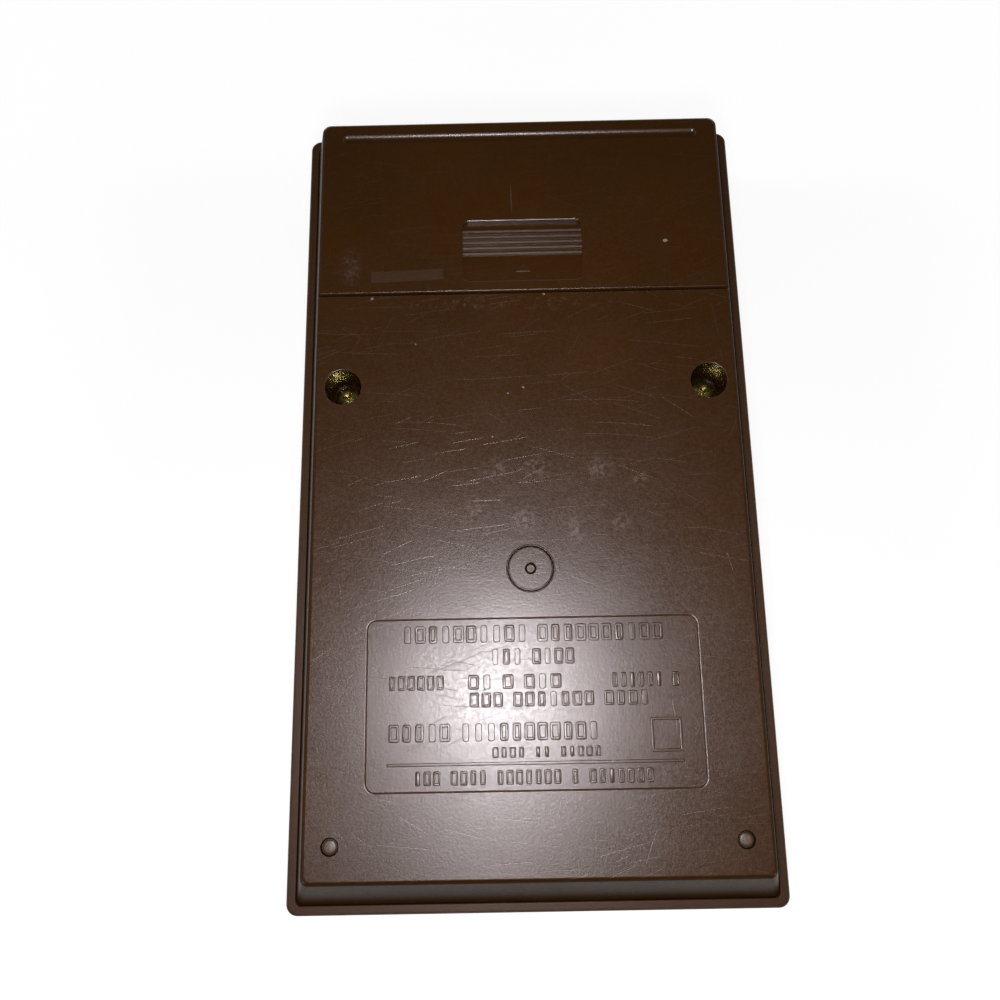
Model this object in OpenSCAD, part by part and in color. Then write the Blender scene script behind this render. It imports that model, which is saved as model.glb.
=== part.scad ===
// Pocket calculator, lying face down: +Z is the back of the case, -Y is the bottom end,
// +Y is the display and battery end. The origin is the centre of the front border's rest plane.
// All sizes are in millimetres.

/* [Case] */
// Width of the case, side to side
case_w = 70; // [70:0.5:76]
// Length of the case, bottom end to battery end
case_l = 122; // [122:0.5:130]
// Thickness of the whole case, front border to back face
case_t = 22; // [22:0.25:24]
// Depth of the front case, from its border to its rim
rim_z = 14; // [14:0.25:14.5]
// Thickness of the front case's side walls, which is the width of the rim
rim_w = 1.35; // [1.2:0.05:1.5]
// Thickness of the back cover's skin
cover_wall = 1.6; // [1.4:0.1:1.8]
// How far the raised back's side walls lean in
side_lean = 2.1; // [1.5:0.1:2.4]
// How far the raised back's bottom wall leans in
bottom_lean = 3.75; // [3:0.25:5]
// How far the raised back's battery end leans in
top_lean = 1.2; // [0.8:0.1:1.2]

/* [Battery door] */
// Distance from the case's centre to the seam between back cover and door
seam_y = 28.5; // [28.5:0.1:29]
// Width of the seam
seam_gap = 0.3; // [0.2:0.05:0.4]
// Width of the thumb recess
thumb_w = 18.4; // [16:0.2:22]
// Number of ribs in the thumb recess
thumb_ribs = 5; // [4:1:6]

/* [Back cover] */
// Distance of each screw well from the centre line
screw_x = 27.25; // [26.5:0.25:27.25]
// Distance of the screw wells above the centre of the case
screw_y = 13.6; // [13:0.2:14.5]
// Diameter of the screw wells
well_d = 5.4; // [5:0.1:5.6]
// Width of the label panel
label_w = 45.8; // [40:0.2:48]
// Height of the label panel
label_h = 22.9; // [20:0.1:24]

/* [Keys] */
// Width of a key cap
key_w = 11.5; // [11:0.1:11.6]
// Height of a key cap
key_h = 7.2; // [6.8:0.1:7.4]
// Distance between key columns
key_pitch_x = 16; // [15.8:0.1:16]
// Distance between key rows
key_pitch_y = 10.6; // [10.4:0.1:10.6]
// How far a key travels when it is pressed
key_travel = 1.2; // [0.8:0.1:1.3]

/* [Hidden] */
$fn = 48;

// Keys, in rows from the display down; the first of each row is at the +X side, because
// the keypad faces down and reads from +X to -X.
KEY_NODES = [
    "key_root", "key_percent", "key_sign", "key_clear",
    "key_memory_recall", "key_memory_clear", "key_memory_minus", "key_memory_plus",
    "key_7", "key_8", "key_9", "key_divide",
    "key_4", "key_5", "key_6", "key_times",
    "key_1", "key_2", "key_3", "key_minus",
    "key_0", "key_point", "key_equals", "key_plus"
];

// Clearances
fit_gap = 0.15;
cut = 0.1;

// Front case and faceplate
case_corner_r = 1.6;
border_w = 2;
face_z = 2.2;
plate_t = 0.5;
deck_z = face_z + plate_t;
deck_t = 1.5;
deck_top = deck_z + deck_t;
ledge_w = 0.8;
ledge_top = 12.2;
ledge_t = 1.5;
face_w = case_w - 2 * border_w;
face_l = case_l - 2 * border_w;

// Raised back
back_half_w = case_w / 2 - rim_w - fit_gap;
back_half_l = case_l / 2 - rim_w - fit_gap;
back_corner_r = 1.2;
plate_under = case_t - cover_wall;
skirt_t = 1.3;
cover_end = seam_y - seam_gap / 2;
door_start = seam_y + seam_gap / 2;
deck_plate_t = 1.1;
bulkhead_t = 1.15;

// Battery bay
cell_d = 14.2;
cell_l = 50.4;
cell_z = 13;
cell_y_low = 36.75;
cell_y_high = 51;
nub_l = 1.2;
nub_d = 5.3;
bay_floor = 4.7;
bay_floor_t = 1.1;
bay_half_x = 28.6;
bay_wall = 1;
bay_y0 = 29.5;
bay_y1 = 58.4;
bay_top = 20.3;
rail_end_y = bay_y1 - 2.4;
lip_w = 0.8;
lip_z = 18.9;
contact_t = 0.4;
contact_half_w = 5;
contact_top = 18;
dimple_h = 0.8;
spring_wire_d = 0.8;
spring_turns = 3.5;
contact_x = bay_half_x - contact_t;
nub_x = contact_x - dimple_h;
cell_flat_x = nub_x - cell_l;
tab_z = 8;
tab_w = 2;
tab_drop = 4.8;
tab_end_x = 31.2;

// Door
door_skin = 1.4;
door_side = 1.1;
door_base = rim_z + fit_gap;
door_rib_z = 17.2;
door_rib_t = 1.3;
door_rib_x = 30;
thumb_y0 = 30.4;
thumb_y1 = 40.6;
thumb_deep = 0.8;
thumb_shallow = 0.15;
thumb_r = 1;
thumb_rib_y = 35.1;
thumb_rib_pitch = 0.94;
thumb_rib_t = 0.45;
groove_y = 55.5;
groove_w = 1.4;
groove_l = 56.2;
groove_deep = 0.4;
arrow_y = 31.9;
arrow_w = 2.3;
arrow_l = 1.5;

// Screws, pins and bosses
seat_z = 15.2;
head_d = 4.4;
head_h = 1.5;
shank_d = 2;
shank_l = 8;
cover_boss_d = 8;
case_boss_d = 5.4;
boss_gap_z = 13.6;
pin_x = 27.6;
pin_y = -51;
pin_d = 1.9;
pin_ring_d = 2.3;
pin_head_h = 0.3;
pin_shank_d = 1.5;
pin_shank_l = 1.9;
pin_boss_d = 4.4;
pin_boss_h = 1.4;
tongue_half_w = 4;
hook_t = 1.3;
hook_reach = 0.6;
gate_y = -14.2;
gate_d = 6.8;
gate_groove = 0.35;
dimple_d = 1.7;
label_y = -32.75;
label_deep = 0.25;
label_r = 1.2;

// Circuit board and its posts
pcb_z = 9;
pcb_t = 1.6;
pcb_back = pcb_z + pcb_t;
pcb_half_w = 30.5;
pcb_y0 = -56;
pcb_y1 = 28.2;
post_d = 3;
row_top_y = 4;
post_low_y = row_top_y - 4.5 * key_pitch_y;
post_mid_y = row_top_y - 2.5 * key_pitch_y;
post_high_y = row_top_y - 0.5 * key_pitch_y;
POSTS = [
    [-key_pitch_x, post_low_y], [key_pitch_x, post_low_y], [0, post_mid_y],
    [-key_pitch_x, post_high_y], [key_pitch_x, post_high_y], [-28.7, 20.4], [28.7, 20.4]
];
pcb_head_d = 2.8;
pcb_head_h = 0.9;
pcb_shank_d = 1.4;
pcb_shank_l = 5.2;

// Keys and the rubber sheet under them
key_top_z = 0.5;
key_taper = 0.4;
key_gap = 0.3;
flange_z = deck_top + 0.1;
flange_t = 0.6;
flange_x = 13;
flange_y = 8.8;
stem_d = 3;
dome_top = 6.2;
stem_end = dome_top - 0.05;
sheet_t = 0.6;
sheet_z = pcb_z - sheet_t;
sheet_y1 = 9.5;
sheet_y0 = -54;
sheet_half_w = 29.7;

// Display
lcd_half_w = 28.5;
lcd_y0 = 24.5;
lcd_y1 = 46;
lcd_z = 2.9;
lcd_sheet_t = 0.7;
lcd_back_y0 = 27.6;
film_t = 0.12;
foil_t = 0.18;
film_gap = 0.01;
view_half_w = 27.5;
view_y0 = 30.8;
view_y1 = 45.5;
window_half_w = 29.5;
window_y0 = 29.3;
window_y1 = 47;
window_z = 1.2;
zebra_y = 26;
zebra_w = 2;
zebra_half_l = 26;
clip_y0 = 23.4;
clip_y1 = 28.2;

// Power switch
knob_x = 16;
knob_y = 17;
knob_travel = 4;
knob_l = 7;
knob_w = 3.6;
knob_top = 0.6;
knob_stem_l = 3;
knob_stem_w = 2.4;
knob_post_w = 4;
slot_l = knob_stem_l + knob_travel + 0.6;
slot_x = knob_x - knob_travel / 2;
knob_flange_l = 9;
knob_flange_w = 6;
knob_grooves = 5;
knob_groove_pitch = 1.1;
knob_groove_w = 0.4;
wiper_z = pcb_z - 1.6;
wiper_t = 0.2;
wiper_half_w = 1.5;

// Battery wires, from their contacts round the battery bay to the circuit board
wire_d = 1.2;
POSITIVE_ROUTE = [
    [30.9, 47.2, 9], [31.3, 45, 9], [31.7, 42, 9.2], [31.8, 38, 9.4], [31.8, 34, 9.6],
    [31.7, 30, 10.2], [31.2, 27.4, 11], [29.8, 25.6, 11.6], [28, 24.8, 11.6], [26, 24.6, 11.3]
];
NEGATIVE_ROUTE = [
    [30.9, 33.6, 7.4], [31.2, 32, 7.3], [31.4, 30, 7.3], [31.5, 28, 7.8], [31.6, 26.2, 8.8],
    [31.5, 24.8, 10.2], [30.8, 23.8, 11.3], [29.4, 23.2, 11.7], [27.8, 23, 11.6], [26, 22.8, 11.3]
];

// ---------- Shared shapes ----------

// Rectangle with round corners, centred on the origin
module rounded_rect(w, h, r) {
    square([w - 2 * r, h], center = true);
    square([w, h - 2 * r], center = true);
    for (x = [-1, 1], y = [-1, 1])
        translate([x * (w / 2 - r), y * (h / 2 - r)]) circle(r);
}

// Plate with round corners, from z0 up to z1
module rounded_plate(w, h, r, z0, z1) {
    translate([0, 0, z0]) linear_extrude(z1 - z0) rounded_rect(w, h, r);
}

// Block between two opposite corners
module block(low, high) {
    translate(low) cube(high - low);
}

// Upright rod from z0 up to z1
module rod(x, y, d, z0, z1) {
    translate([x, y, z0]) cylinder(d = d, h = z1 - z0);
}

// Solid whose outline in X-Z runs all along Y, from y0 to y1
module extrude_y(outline, y0, y1) {
    translate([0, y1, 0]) rotate([90, 0, 0]) linear_extrude(y1 - y0) polygon(outline);
}

// Solid whose outline in Y-Z runs all along X, half_w to each side
module extrude_x(outline, half_w) {
    translate([-half_w, 0, 0]) rotate([90, 0, 90]) linear_extrude(2 * half_w) polygon(outline);
}

// Raised back between y0 and y1, drawn in by wall on every outside face, leaning at the ends named
module raised_back(y0, y1, z0, z1, wall, lean_low, lean_high) {
    rise = case_t - rim_z;
    half = function(z) back_half_w - wall - side_lean * (z - rim_z) / rise;
    low = function(z) y0 + lean_low * (z - rim_z) / rise;
    high = function(z) y1 - lean_high * (z - rim_z) / rise;
    intersection() {
        extrude_y([[-half(z0), z0], [half(z0), z0], [half(z1), z1], [-half(z1), z1]], y0 - 1, y1 + 1);
        extrude_x([[low(z0), z0], [high(z0), z0], [high(z1), z1], [low(z1), z1]], case_w / 2);
        rounded_plate(2 * (back_half_w - wall), 2 * (back_half_l - wall),
            max(back_corner_r - wall, 0.4), z0 - 1, z1 + 1);
    }
}

// Both sides of the case
module both_sides() {
    children();
    mirror([1, 0, 0]) children();
}

// Place of a key, counted from the display end
function key_x(i) = key_pitch_x * (1.5 - i % 4);
function key_y(i) = row_top_y - key_pitch_y * floor(i / 4);

// Openings through the faceplate and the deck under it
module face_openings(z0, z1) {
    for (i = [0 : len(KEY_NODES) - 1])
        translate([key_x(i), key_y(i)])
            rounded_plate(key_w + 2 * key_gap, key_h + 2 * key_gap, 0.8, z0, z1);
    translate([slot_x, knob_y])
        rounded_plate(slot_l, knob_stem_w + 2 * key_gap, 0.4, z0, z1);
}

// Pan-head screw with a cross recess, its seat at z = 0 and its head upwards
module cross_screw(head_d, head_h, shank_d, shank_l, cross_l) {
    difference() {
        rotate_extrude() polygon([
            [0, -shank_l], [shank_d * 0.25, -shank_l], [shank_d / 2, -shank_l + shank_d / 2],
            [shank_d / 2, 0], [head_d / 2, 0], [head_d / 2, head_h * 0.5],
            [head_d * 0.42, head_h * 0.82], [head_d * 0.3, head_h], [0, head_h]
        ]);
        for (turn = [0, 90])
            rotate(turn) translate([0, 0, head_h])
                cube([cross_l, cross_l * 0.2, head_h * 1.1], center = true);
    }
}

// Round tube swept along a route of points
function unit(v) = v / norm(v);
function route_dir(p, i) = unit(p[min(i + 1, len(p) - 1)] - p[max(i - 1, 0)]);
function tube_ring(p, i, r, sides, up) =
    let (d = route_dir(p, i), u = unit(cross(d, up)), v = cross(u, d))
    [for (s = [0 : sides - 1]) p[i] + r * (cos(360 * s / sides) * u + sin(360 * s / sides) * v)];

module tube(route, d, sides, up) {
    n = len(route);
    points = [for (i = [0 : n - 1]) each tube_ring(route, i, d / 2, sides, up)];
    walls = [for (i = [0 : n - 2], s = [0 : sides - 1]) let (t = (s + 1) % sides)
        [i * sides + s, i * sides + t, (i + 1) * sides + t, (i + 1) * sides + s]];
    first = [for (s = [sides - 1 : -1 : 0]) s];
    last = [for (s = [0 : sides - 1]) (n - 1) * sides + s];
    polyhedron(points, concat([first, last], walls));
}

// ---------- Casing ----------

module front_case() color("#35241a") {
    difference() {
        union() {
            difference() {
                rounded_plate(case_w, case_l, case_corner_r, 0, rim_z);
                rounded_plate(case_w - 2 * rim_w, case_l - 2 * rim_w, 0.7, deck_top, rim_z + cut);
                rounded_plate(face_w, face_l, 1.2, -cut, deck_z);
            }
            case_ledge();
            for (side = [-1, 1])
                rod(side * screw_x, screw_y, case_boss_d, deck_top - cut, boss_gap_z - cut);
            for (p = POSTS)
                rod(p[0], p[1], post_d, deck_top - cut, pcb_z);
        }
        face_openings(deck_z - cut, deck_top + cut);
        block([-lcd_half_w - key_gap, lcd_y0 - key_gap, deck_z - cut],
            [lcd_half_w + key_gap, lcd_y1 + key_gap, deck_top + cut]);
        for (side = [-1, 1])
            rod(side * screw_x, screw_y, shank_d - 0.3, seat_z - shank_l - 0.5, boss_gap_z);
        for (p = POSTS)
            rod(p[0], p[1], pcb_shank_d - 0.2, pcb_back - pcb_shank_l - 0.4, pcb_z + cut);
    }
}

// Inner ledge that carries the back cover's skirt; it stops short at the battery bay
module case_ledge() {
    difference() {
        rounded_plate(case_w - 2 * rim_w + cut, case_l - 2 * rim_w + cut, 0.7,
            ledge_top - ledge_t, ledge_top);
        rounded_plate(case_w - 2 * (rim_w + ledge_w), case_l - 2 * (rim_w + ledge_w), 0.5,
            ledge_top - ledge_t - cut, ledge_top + cut);
        block([-bay_half_x - 2, bay_y1 - 1, 0], [bay_half_x + 2, case_l / 2 - rim_w, rim_z]);
    }
}

module faceplate() color("#b9a98c") {
    difference() {
        rounded_plate(face_w - 0.2, face_l - 0.2, 1.1, face_z, deck_z);
        face_openings(face_z - cut, deck_z + cut);
        block([-view_half_w, view_y0, face_z - cut], [view_half_w, view_y1, deck_z + cut]);
    }
}

module display_window() color("#5b5a55", 0.5) {
    translate([0, (window_y0 + window_y1) / 2])
        rounded_plate(2 * window_half_w, window_y1 - window_y0, 0.8, window_z, face_z);
}

module back_cover() color("#35241a") {
    difference() {
        union() {
            cover_shell();
            battery_bay();
            for (side = [-1, 1])
                rod(side * screw_x, screw_y, cover_boss_d, boss_gap_z, plate_under + cut);
            for (side = [-1, 1])
                rod(side * pin_x, pin_y, pin_boss_d, plate_under - pin_boss_h, plate_under + cut);
            for (side = [-1, 1])
                cover_tongue(side * key_pitch_x);
        }
        for (side = [-1, 1]) {
            rod(side * screw_x, screw_y, well_d, seat_z, case_t + cut);
            rod(side * screw_x, screw_y, shank_d + 0.4, boss_gap_z - cut, seat_z + cut);
            rod(side * pin_x, pin_y, pin_ring_d, case_t - pin_head_h, case_t + cut);
            rod(side * pin_x, pin_y, pin_shank_d - 0.1, plate_under - 0.8, case_t);
        }
        translate([0, label_y])
            rounded_plate(label_w, label_h, label_r, case_t - label_deep, case_t + cut);
        gate_mark();
    }
}

// Shell of the cover: skirt, leaning walls, back face and the bulkhead at the seam
module cover_shell() {
    y0 = -back_half_l;
    difference() {
        raised_back(y0, cover_end, rim_z - cut, case_t, 0, bottom_lean, 0);
        raised_back(y0 + cover_wall, cover_end - bulkhead_t, rim_z - 2 * cut, plate_under,
            cover_wall - 0.1, bottom_lean, 0);
    }
    difference() {
        rounded_plate(2 * back_half_w, 2 * back_half_l, back_corner_r, ledge_top, rim_z);
        rounded_plate(2 * (back_half_w - skirt_t), 2 * (back_half_l - skirt_t), 0.5,
            ledge_top - cut, rim_z + cut);
    }
}

// Open box that holds the two cells, with the deck round it that the door slides on
module battery_bay() {
    outer_x = bay_half_x + bay_wall;
    difference() {
        union() {
            block([-outer_x, cover_end - cut, bay_floor], [outer_x, bay_y1 + bay_wall, rim_z]);
            block([-outer_x, cover_end - cut, rim_z - cut], [outer_x, bay_y0, bay_top]);
            for (side = [-1, 1])
                block([side * outer_x - (side > 0 ? bay_wall : 0), bay_y0 - cut, rim_z - cut],
                    [side * outer_x + (side > 0 ? 0 : bay_wall), rail_end_y, bay_top]);
            both_sides()
                block([outer_x - cut, door_start, lip_z], [outer_x + lip_w, rail_end_y, bay_top]);
            block([-back_half_w + 1, cover_end - bulkhead_t, rim_z - deck_plate_t],
                [back_half_w - 1, back_half_l - 1, rim_z]);
        }
        block([-bay_half_x, bay_y0, bay_floor + bay_floor_t], [bay_half_x, bay_y1, case_t]);
        for (y = [cell_y_low, cell_y_high])
            block([bay_half_x - cut, y - tab_drop - fit_gap, tab_z - fit_gap],
                [outer_x + cut, y - tab_drop + tab_w + fit_gap, tab_z + contact_t + fit_gap]);
        block([-outer_x + bay_wall, bay_y1, rim_z - cut / 2],
            [outer_x - bay_wall, bay_y1 + bay_wall + 1, rim_z + 1]);
    }
}

// Hooked tongue that catches under the front case's ledge
module cover_tongue(x) {
    skirt_y = -back_half_l + skirt_t;
    ledge_y = -case_l / 2 + rim_w + ledge_w;
    hook_top = ledge_top - ledge_t - cut;
    hook_z = hook_top - hook_t;
    x0 = x - tongue_half_w;
    x1 = x + tongue_half_w;
    block([x0, ledge_y + cut, hook_z], [x1, ledge_y + hook_t, rim_z - 0.4]);
    block([x0, ledge_y - hook_reach, hook_z], [x1, ledge_y + 2 * cut, hook_top]);
    block([x0, skirt_y - 0.6, ledge_top + cut], [x1, skirt_y + 0.4, rim_z - 0.4]);
}

// Moulding gate: a ring groove round a flush disc with a small dimple
module gate_mark() {
    translate([0, gate_y, 0]) {
        difference() {
            rod(0, 0, gate_d, case_t - 0.3, case_t + cut);
            rod(0, 0, gate_d - 2 * gate_groove, case_t - 0.4, case_t + 2 * cut);
        }
        rod(0, 0, dimple_d, case_t - 0.25, case_t + cut);
    }
}

module battery_door() color("#38271c") {
    difference() {
        raised_back(door_start, back_half_l, door_base, case_t, 0, 0, top_lean);
        raised_back(door_start - 2, back_half_l - door_side, door_base - cut, case_t - door_skin,
            door_side, 0, top_lean);
        thumb_recess();
        door_groove();
    }
    thumb_rib_set();
    door_arrow();
    both_sides()
        intersection() {
            block([door_rib_x, door_start, door_rib_z], [back_half_w, bay_y1 - 3, door_rib_z + door_rib_t]);
            raised_back(door_start, back_half_l, door_base, case_t, 0.3, 0, top_lean);
        }
}

// Floor height of the thumb recess, which gets deeper away from the seam
function thumb_floor(y) =
    case_t - thumb_shallow - (thumb_deep - thumb_shallow) * (y - thumb_y0) / (thumb_y1 - thumb_y0);

module thumb_recess() {
    intersection() {
        extrude_x([[thumb_y0, thumb_floor(thumb_y0)], [thumb_y1, thumb_floor(thumb_y1)],
            [thumb_y1, case_t + cut], [thumb_y0, case_t + cut]], thumb_w);
        translate([0, (thumb_y0 + thumb_y1) / 2])
            rounded_plate(thumb_w, thumb_y1 - thumb_y0, thumb_r, case_t - 2 * thumb_deep, case_t + 1);
    }
}

module thumb_rib_set() {
    for (i = [0 : thumb_ribs - 1]) {
        y = thumb_rib_y + i * thumb_rib_pitch;
        block([-thumb_w / 2, y - thumb_rib_t / 2, thumb_floor(y) - 0.2],
            [thumb_w / 2, y + thumb_rib_t / 2, case_t - 0.05]);
    }
}

// Long shallow groove with round ends, close to the door's far edge
module door_groove() {
    translate([0, groove_y])
        rounded_plate(groove_l, groove_w, groove_w / 2 - 0.01, case_t - groove_deep, case_t + cut);
}

// Small raised arrow that points the way the door slides
module door_arrow() {
    translate([0, arrow_y, thumb_floor(arrow_y + arrow_l) - 0.1]) linear_extrude(0.35)
        polygon([[-arrow_w / 2, 0], [arrow_w / 2, 0], [0, arrow_l]]);
}

module case_screws() color("#b08d3e") {
    for (side = [-1, 1])
        translate([side * screw_x, screw_y, seat_z]) rotate(side * 20)
            cross_screw(head_d, head_h, shank_d, shank_l, 2.4);
}

module foot_pins() color("#5a4636") {
    for (side = [-1, 1]) {
        rod(side * pin_x, pin_y, pin_d, case_t - pin_head_h, case_t);
        rod(side * pin_x, pin_y, pin_shank_d, case_t - pin_head_h - pin_shank_l, case_t - pin_head_h + 0.05);
    }
}

// ---------- Electronics ----------

module main_pcb() color("#8a6b2d") {
    difference() {
        block([-pcb_half_w, pcb_y0, pcb_z], [pcb_half_w, pcb_y1, pcb_back]);
        for (p = POSTS)
            rod(p[0], p[1], pcb_shank_d + 0.4, pcb_z - cut, pcb_back + cut);
        for (side = [-1, 1])
            rod(side * screw_x, screw_y, case_boss_d + 1, pcb_z - cut, pcb_back + cut);
        both_sides()
            block([screw_x, screw_y - case_boss_d / 2 - 0.5, pcb_z - cut],
                [pcb_half_w + 1, screw_y + case_boss_d / 2 + 0.5, pcb_back + cut]);
    }
}

module pcb_screws() color("silver") {
    for (p = POSTS)
        translate([p[0], p[1], pcb_back])
            cross_screw(pcb_head_d, pcb_head_h, pcb_shank_d, pcb_shank_l, 1.6);
}

module contact_sheet() color("#4a4d50") {
    difference() {
        block([-sheet_half_w, sheet_y0, sheet_z], [sheet_half_w, sheet_y1, pcb_z]);
        for (p = POSTS)
            rod(p[0], p[1], post_d + 0.4, sheet_z - cut, pcb_z + cut);
        for (i = [0 : len(KEY_NODES) - 1])
            rod(key_x(i), key_y(i), 5, sheet_z - cut, pcb_z + cut);
    }
    for (i = [0 : len(KEY_NODES) - 1])
        translate([key_x(i), key_y(i)]) rubber_dome();
}

// One hollow rubber dome with a carbon pill under its crown
module rubber_dome() {
    rotate_extrude() polygon([
        [0, dome_top], [2, dome_top], [3.2, sheet_z], [3.2, sheet_z + 0.2], [2.5, pcb_z],
        [2.3, pcb_z], [2.5, sheet_z], [1.5, dome_top + 0.6], [1.5, dome_top + 1.2], [0, dome_top + 1.2]
    ]);
}

module lcd_polariser() color("#6e7468", 0.6) {
    top = lcd_z - film_gap;
    block([-view_half_w, view_y0 - 0.6, top - film_t], [view_half_w, lcd_y1 - 0.3, top]);
}

module lcd_glass() color("#8f9a8a", 0.6) {
    block([-lcd_half_w, lcd_y0, lcd_z], [lcd_half_w, lcd_y1, lcd_z + lcd_sheet_t]);
    block([-lcd_half_w, lcd_back_y0, lcd_z + lcd_sheet_t - film_gap],
        [lcd_half_w, lcd_y1, lcd_z + 2 * lcd_sheet_t]);
}

module lcd_reflector() color("#b8bdb2") {
    back = lcd_z + 2 * lcd_sheet_t + film_gap;
    block([-view_half_w, lcd_back_y0 + 1, back], [view_half_w, lcd_y1 - 0.3, back + foil_t]);
}

// Plastic clip that holds the zebra strip upright between the glass and the board
module lcd_clip() color("#2b2b2b") {
    low_z = lcd_z + 2 * lcd_sheet_t + 0.1;
    difference() {
        block([-lcd_half_w, clip_y0, low_z], [lcd_half_w, clip_y1, pcb_z - 0.05]);
        block([-zebra_half_l - 0.1, zebra_y - zebra_w / 2 - 0.1, low_z - cut],
            [zebra_half_l + 0.1, zebra_y + zebra_w / 2 + 0.1, pcb_z]);
    }
}

module zebra_strip() color("#c9b7a8") {
    block([-zebra_half_l, zebra_y - zebra_w / 2, lcd_z + lcd_sheet_t],
        [zebra_half_l, zebra_y + zebra_w / 2, pcb_z]);
}

module calculator_chip() color("#202022") {
    chip_w = 14;
    legs = 15;
    leg_pitch = 0.8;
    translate([-2, -6, pcb_back]) {
        block([-chip_w / 2, -chip_w / 2, 0.3], [chip_w / 2, chip_w / 2, 2.4]);
        for (side = [0 : 3], i = [0 : legs - 1])
            rotate(90 * side) translate([chip_w / 2, (i - (legs - 1) / 2) * leg_pitch, 0]) {
                block([-cut, -0.17, 1], [1, 0.17, 1.2]);
                block([0.8, -0.17, 0], [1, 0.17, 1.2]);
                block([0.8, -0.17, 0], [1.9, 0.17, 0.2]);
            }
    }
}

module filter_capacitor() color("#2c3f66") {
    translate([20, -22, pcb_back]) rotate_extrude()
        polygon([[0, 0], [2.5, 0], [2.5, 0.7], [2.3, 1], [2.5, 1.3], [2.5, 6.6], [2.2, 7], [0, 7]]);
}

module ceramic_capacitors() color("#b5622e") {
    for (x = [-17, -10])
        translate([x, 12, pcb_back]) {
            translate([0, 0.8, 3.4]) rotate([90, 0, 0]) cylinder(d = 4.4, h = 1.6);
            for (side = [-1, 1])
                rod(side * 1.3, 0, 0.5, 0, 2.4);
        }
}

module resistors() color("#b9976a") {
    for (i = [0 : 2])
        translate([18, 4 + 3.4 * i, pcb_back + 1.1]) {
            rotate([0, 90, 0]) cylinder(d = 1.9, h = 4.6, center = true);
            rotate([0, 90, 0]) cylinder(d = 0.5, h = 7, center = true);
            for (side = [-1, 1])
                rod(side * 3.5, 0, 0.5, -1.1, 0.25);
        }
}

// ---------- Power switch ----------

module power_knob() color("#c8c2b6") {
    translate([knob_x, knob_y, 0]) {
        difference() {
            rounded_plate(knob_l, knob_w, 0.6, knob_top, face_z - fit_gap);
            for (i = [0 : knob_grooves - 1]) {
                x = (i - (knob_grooves - 1) / 2) * knob_groove_pitch;
                block([x - knob_groove_w / 2, -knob_w, knob_top - cut],
                    [x + knob_groove_w / 2, knob_w, knob_top + knob_groove_w]);
            }
        }
        block([-knob_stem_l / 2, -knob_stem_w / 2, face_z - 0.5],
            [knob_stem_l / 2, knob_stem_w / 2, deck_top + 0.5]);
        block([-knob_flange_l / 2, -knob_flange_w / 2, deck_top + fit_gap],
            [knob_flange_l / 2, knob_flange_w / 2, deck_top + 1.1]);
        block([-knob_post_w / 2, -knob_post_w / 2, deck_top + 1],
            [knob_post_w / 2, knob_post_w / 2, wiper_z]);
    }
}

// Sprung leaf that bridges the switch's pads
module switch_wiper() color("#c98f4a") {
    bend_z = pcb_z - 0.35;
    touch_z = pcb_z - 0.05;
    translate([knob_x, knob_y, 0]) extrude_y([
        [-3.6, wiper_z], [3.6, wiper_z], [5, bend_z], [4.2, touch_z], [3.7, bend_z],
        [3.2, wiper_z + wiper_t], [-3.2, wiper_z + wiper_t], [-3.7, bend_z], [-4.2, touch_z], [-5, bend_z]
    ], -wiper_half_w, wiper_half_w);
}

// ---------- Battery ----------

// Round cell lying along X, its raised end towards +X
module cell(y) {
    translate([cell_flat_x, y, cell_z]) rotate([0, 90, 0]) rotate_extrude() polygon([
        [0, 0], [cell_d / 2 - 1.2, 0], [cell_d / 2 - 1.2, 0.3], [cell_d / 2 - 0.3, 0.3],
        [cell_d / 2, 0.6], [cell_d / 2, cell_l - nub_l - 0.6], [cell_d / 2 - 0.3, cell_l - nub_l - 0.2],
        [nub_d / 2, cell_l - nub_l - 0.2], [nub_d / 2, cell_l - 0.3], [nub_d / 2 - 0.3, cell_l], [0, cell_l]
    ]);
}

module battery_upper() color("#7c2f24") cell(cell_y_high);

module battery_lower() color("#7c2f24") mirror([1, 0, 0]) cell(cell_y_low);

// Contact plate at the +X end wall, from y0 to y1
module contact_plate(y0, y1) {
    block([contact_x, y0, tab_z - 0.6], [bay_half_x, y1, contact_top]);
}

// Pressed dimple that meets a cell's raised end
module contact_dimple(y) {
    translate([nub_x, y, cell_z]) rotate([0, 90, 0]) cylinder(d1 = 3.2, d2 = 4.6, h = dimple_h + 0.05);
}

// Solder tab that passes out through the bay's side wall
module solder_tab(y) {
    block([contact_x + cut, y - tab_drop, tab_z], [tab_end_x, y - tab_drop + tab_w, tab_z + contact_t]);
}

module bridge_contact() color("#c9c4b8") mirror([1, 0, 0]) {
    contact_plate(cell_y_low - contact_half_w, cell_y_high + contact_half_w);
    contact_dimple(cell_y_low);
}

module positive_contact() color("#c9c4b8") {
    contact_plate(cell_y_high - contact_half_w, cell_y_high + contact_half_w);
    contact_dimple(cell_y_high);
    solder_tab(cell_y_high);
}

module negative_contact() color("#c9c4b8") {
    contact_plate(cell_y_low - contact_half_w, cell_y_low + contact_half_w);
    solder_tab(cell_y_low);
}

// Cone-shaped coil spring between the +X contact plate and a cell's flat end
module coil_spring(y) {
    steps = 14;
    x0 = -cell_flat_x + spring_wire_d / 2;
    x1 = contact_x - spring_wire_d / 2;
    n = spring_turns * steps;
    route = [for (i = [0 : n]) let (t = i / n, r = 2.6 + 2 * t, a = 360 * i / steps)
        [x0 + (x1 - x0) * t, y + r * cos(a), cell_z + r * sin(a)]];
    tube(route, spring_wire_d, 8, [1, 0, 0]);
}

module bridge_spring() color("#d8d4cc") mirror([1, 0, 0]) coil_spring(cell_y_high);

module negative_spring() color("#d8d4cc") coil_spring(cell_y_low);

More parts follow.
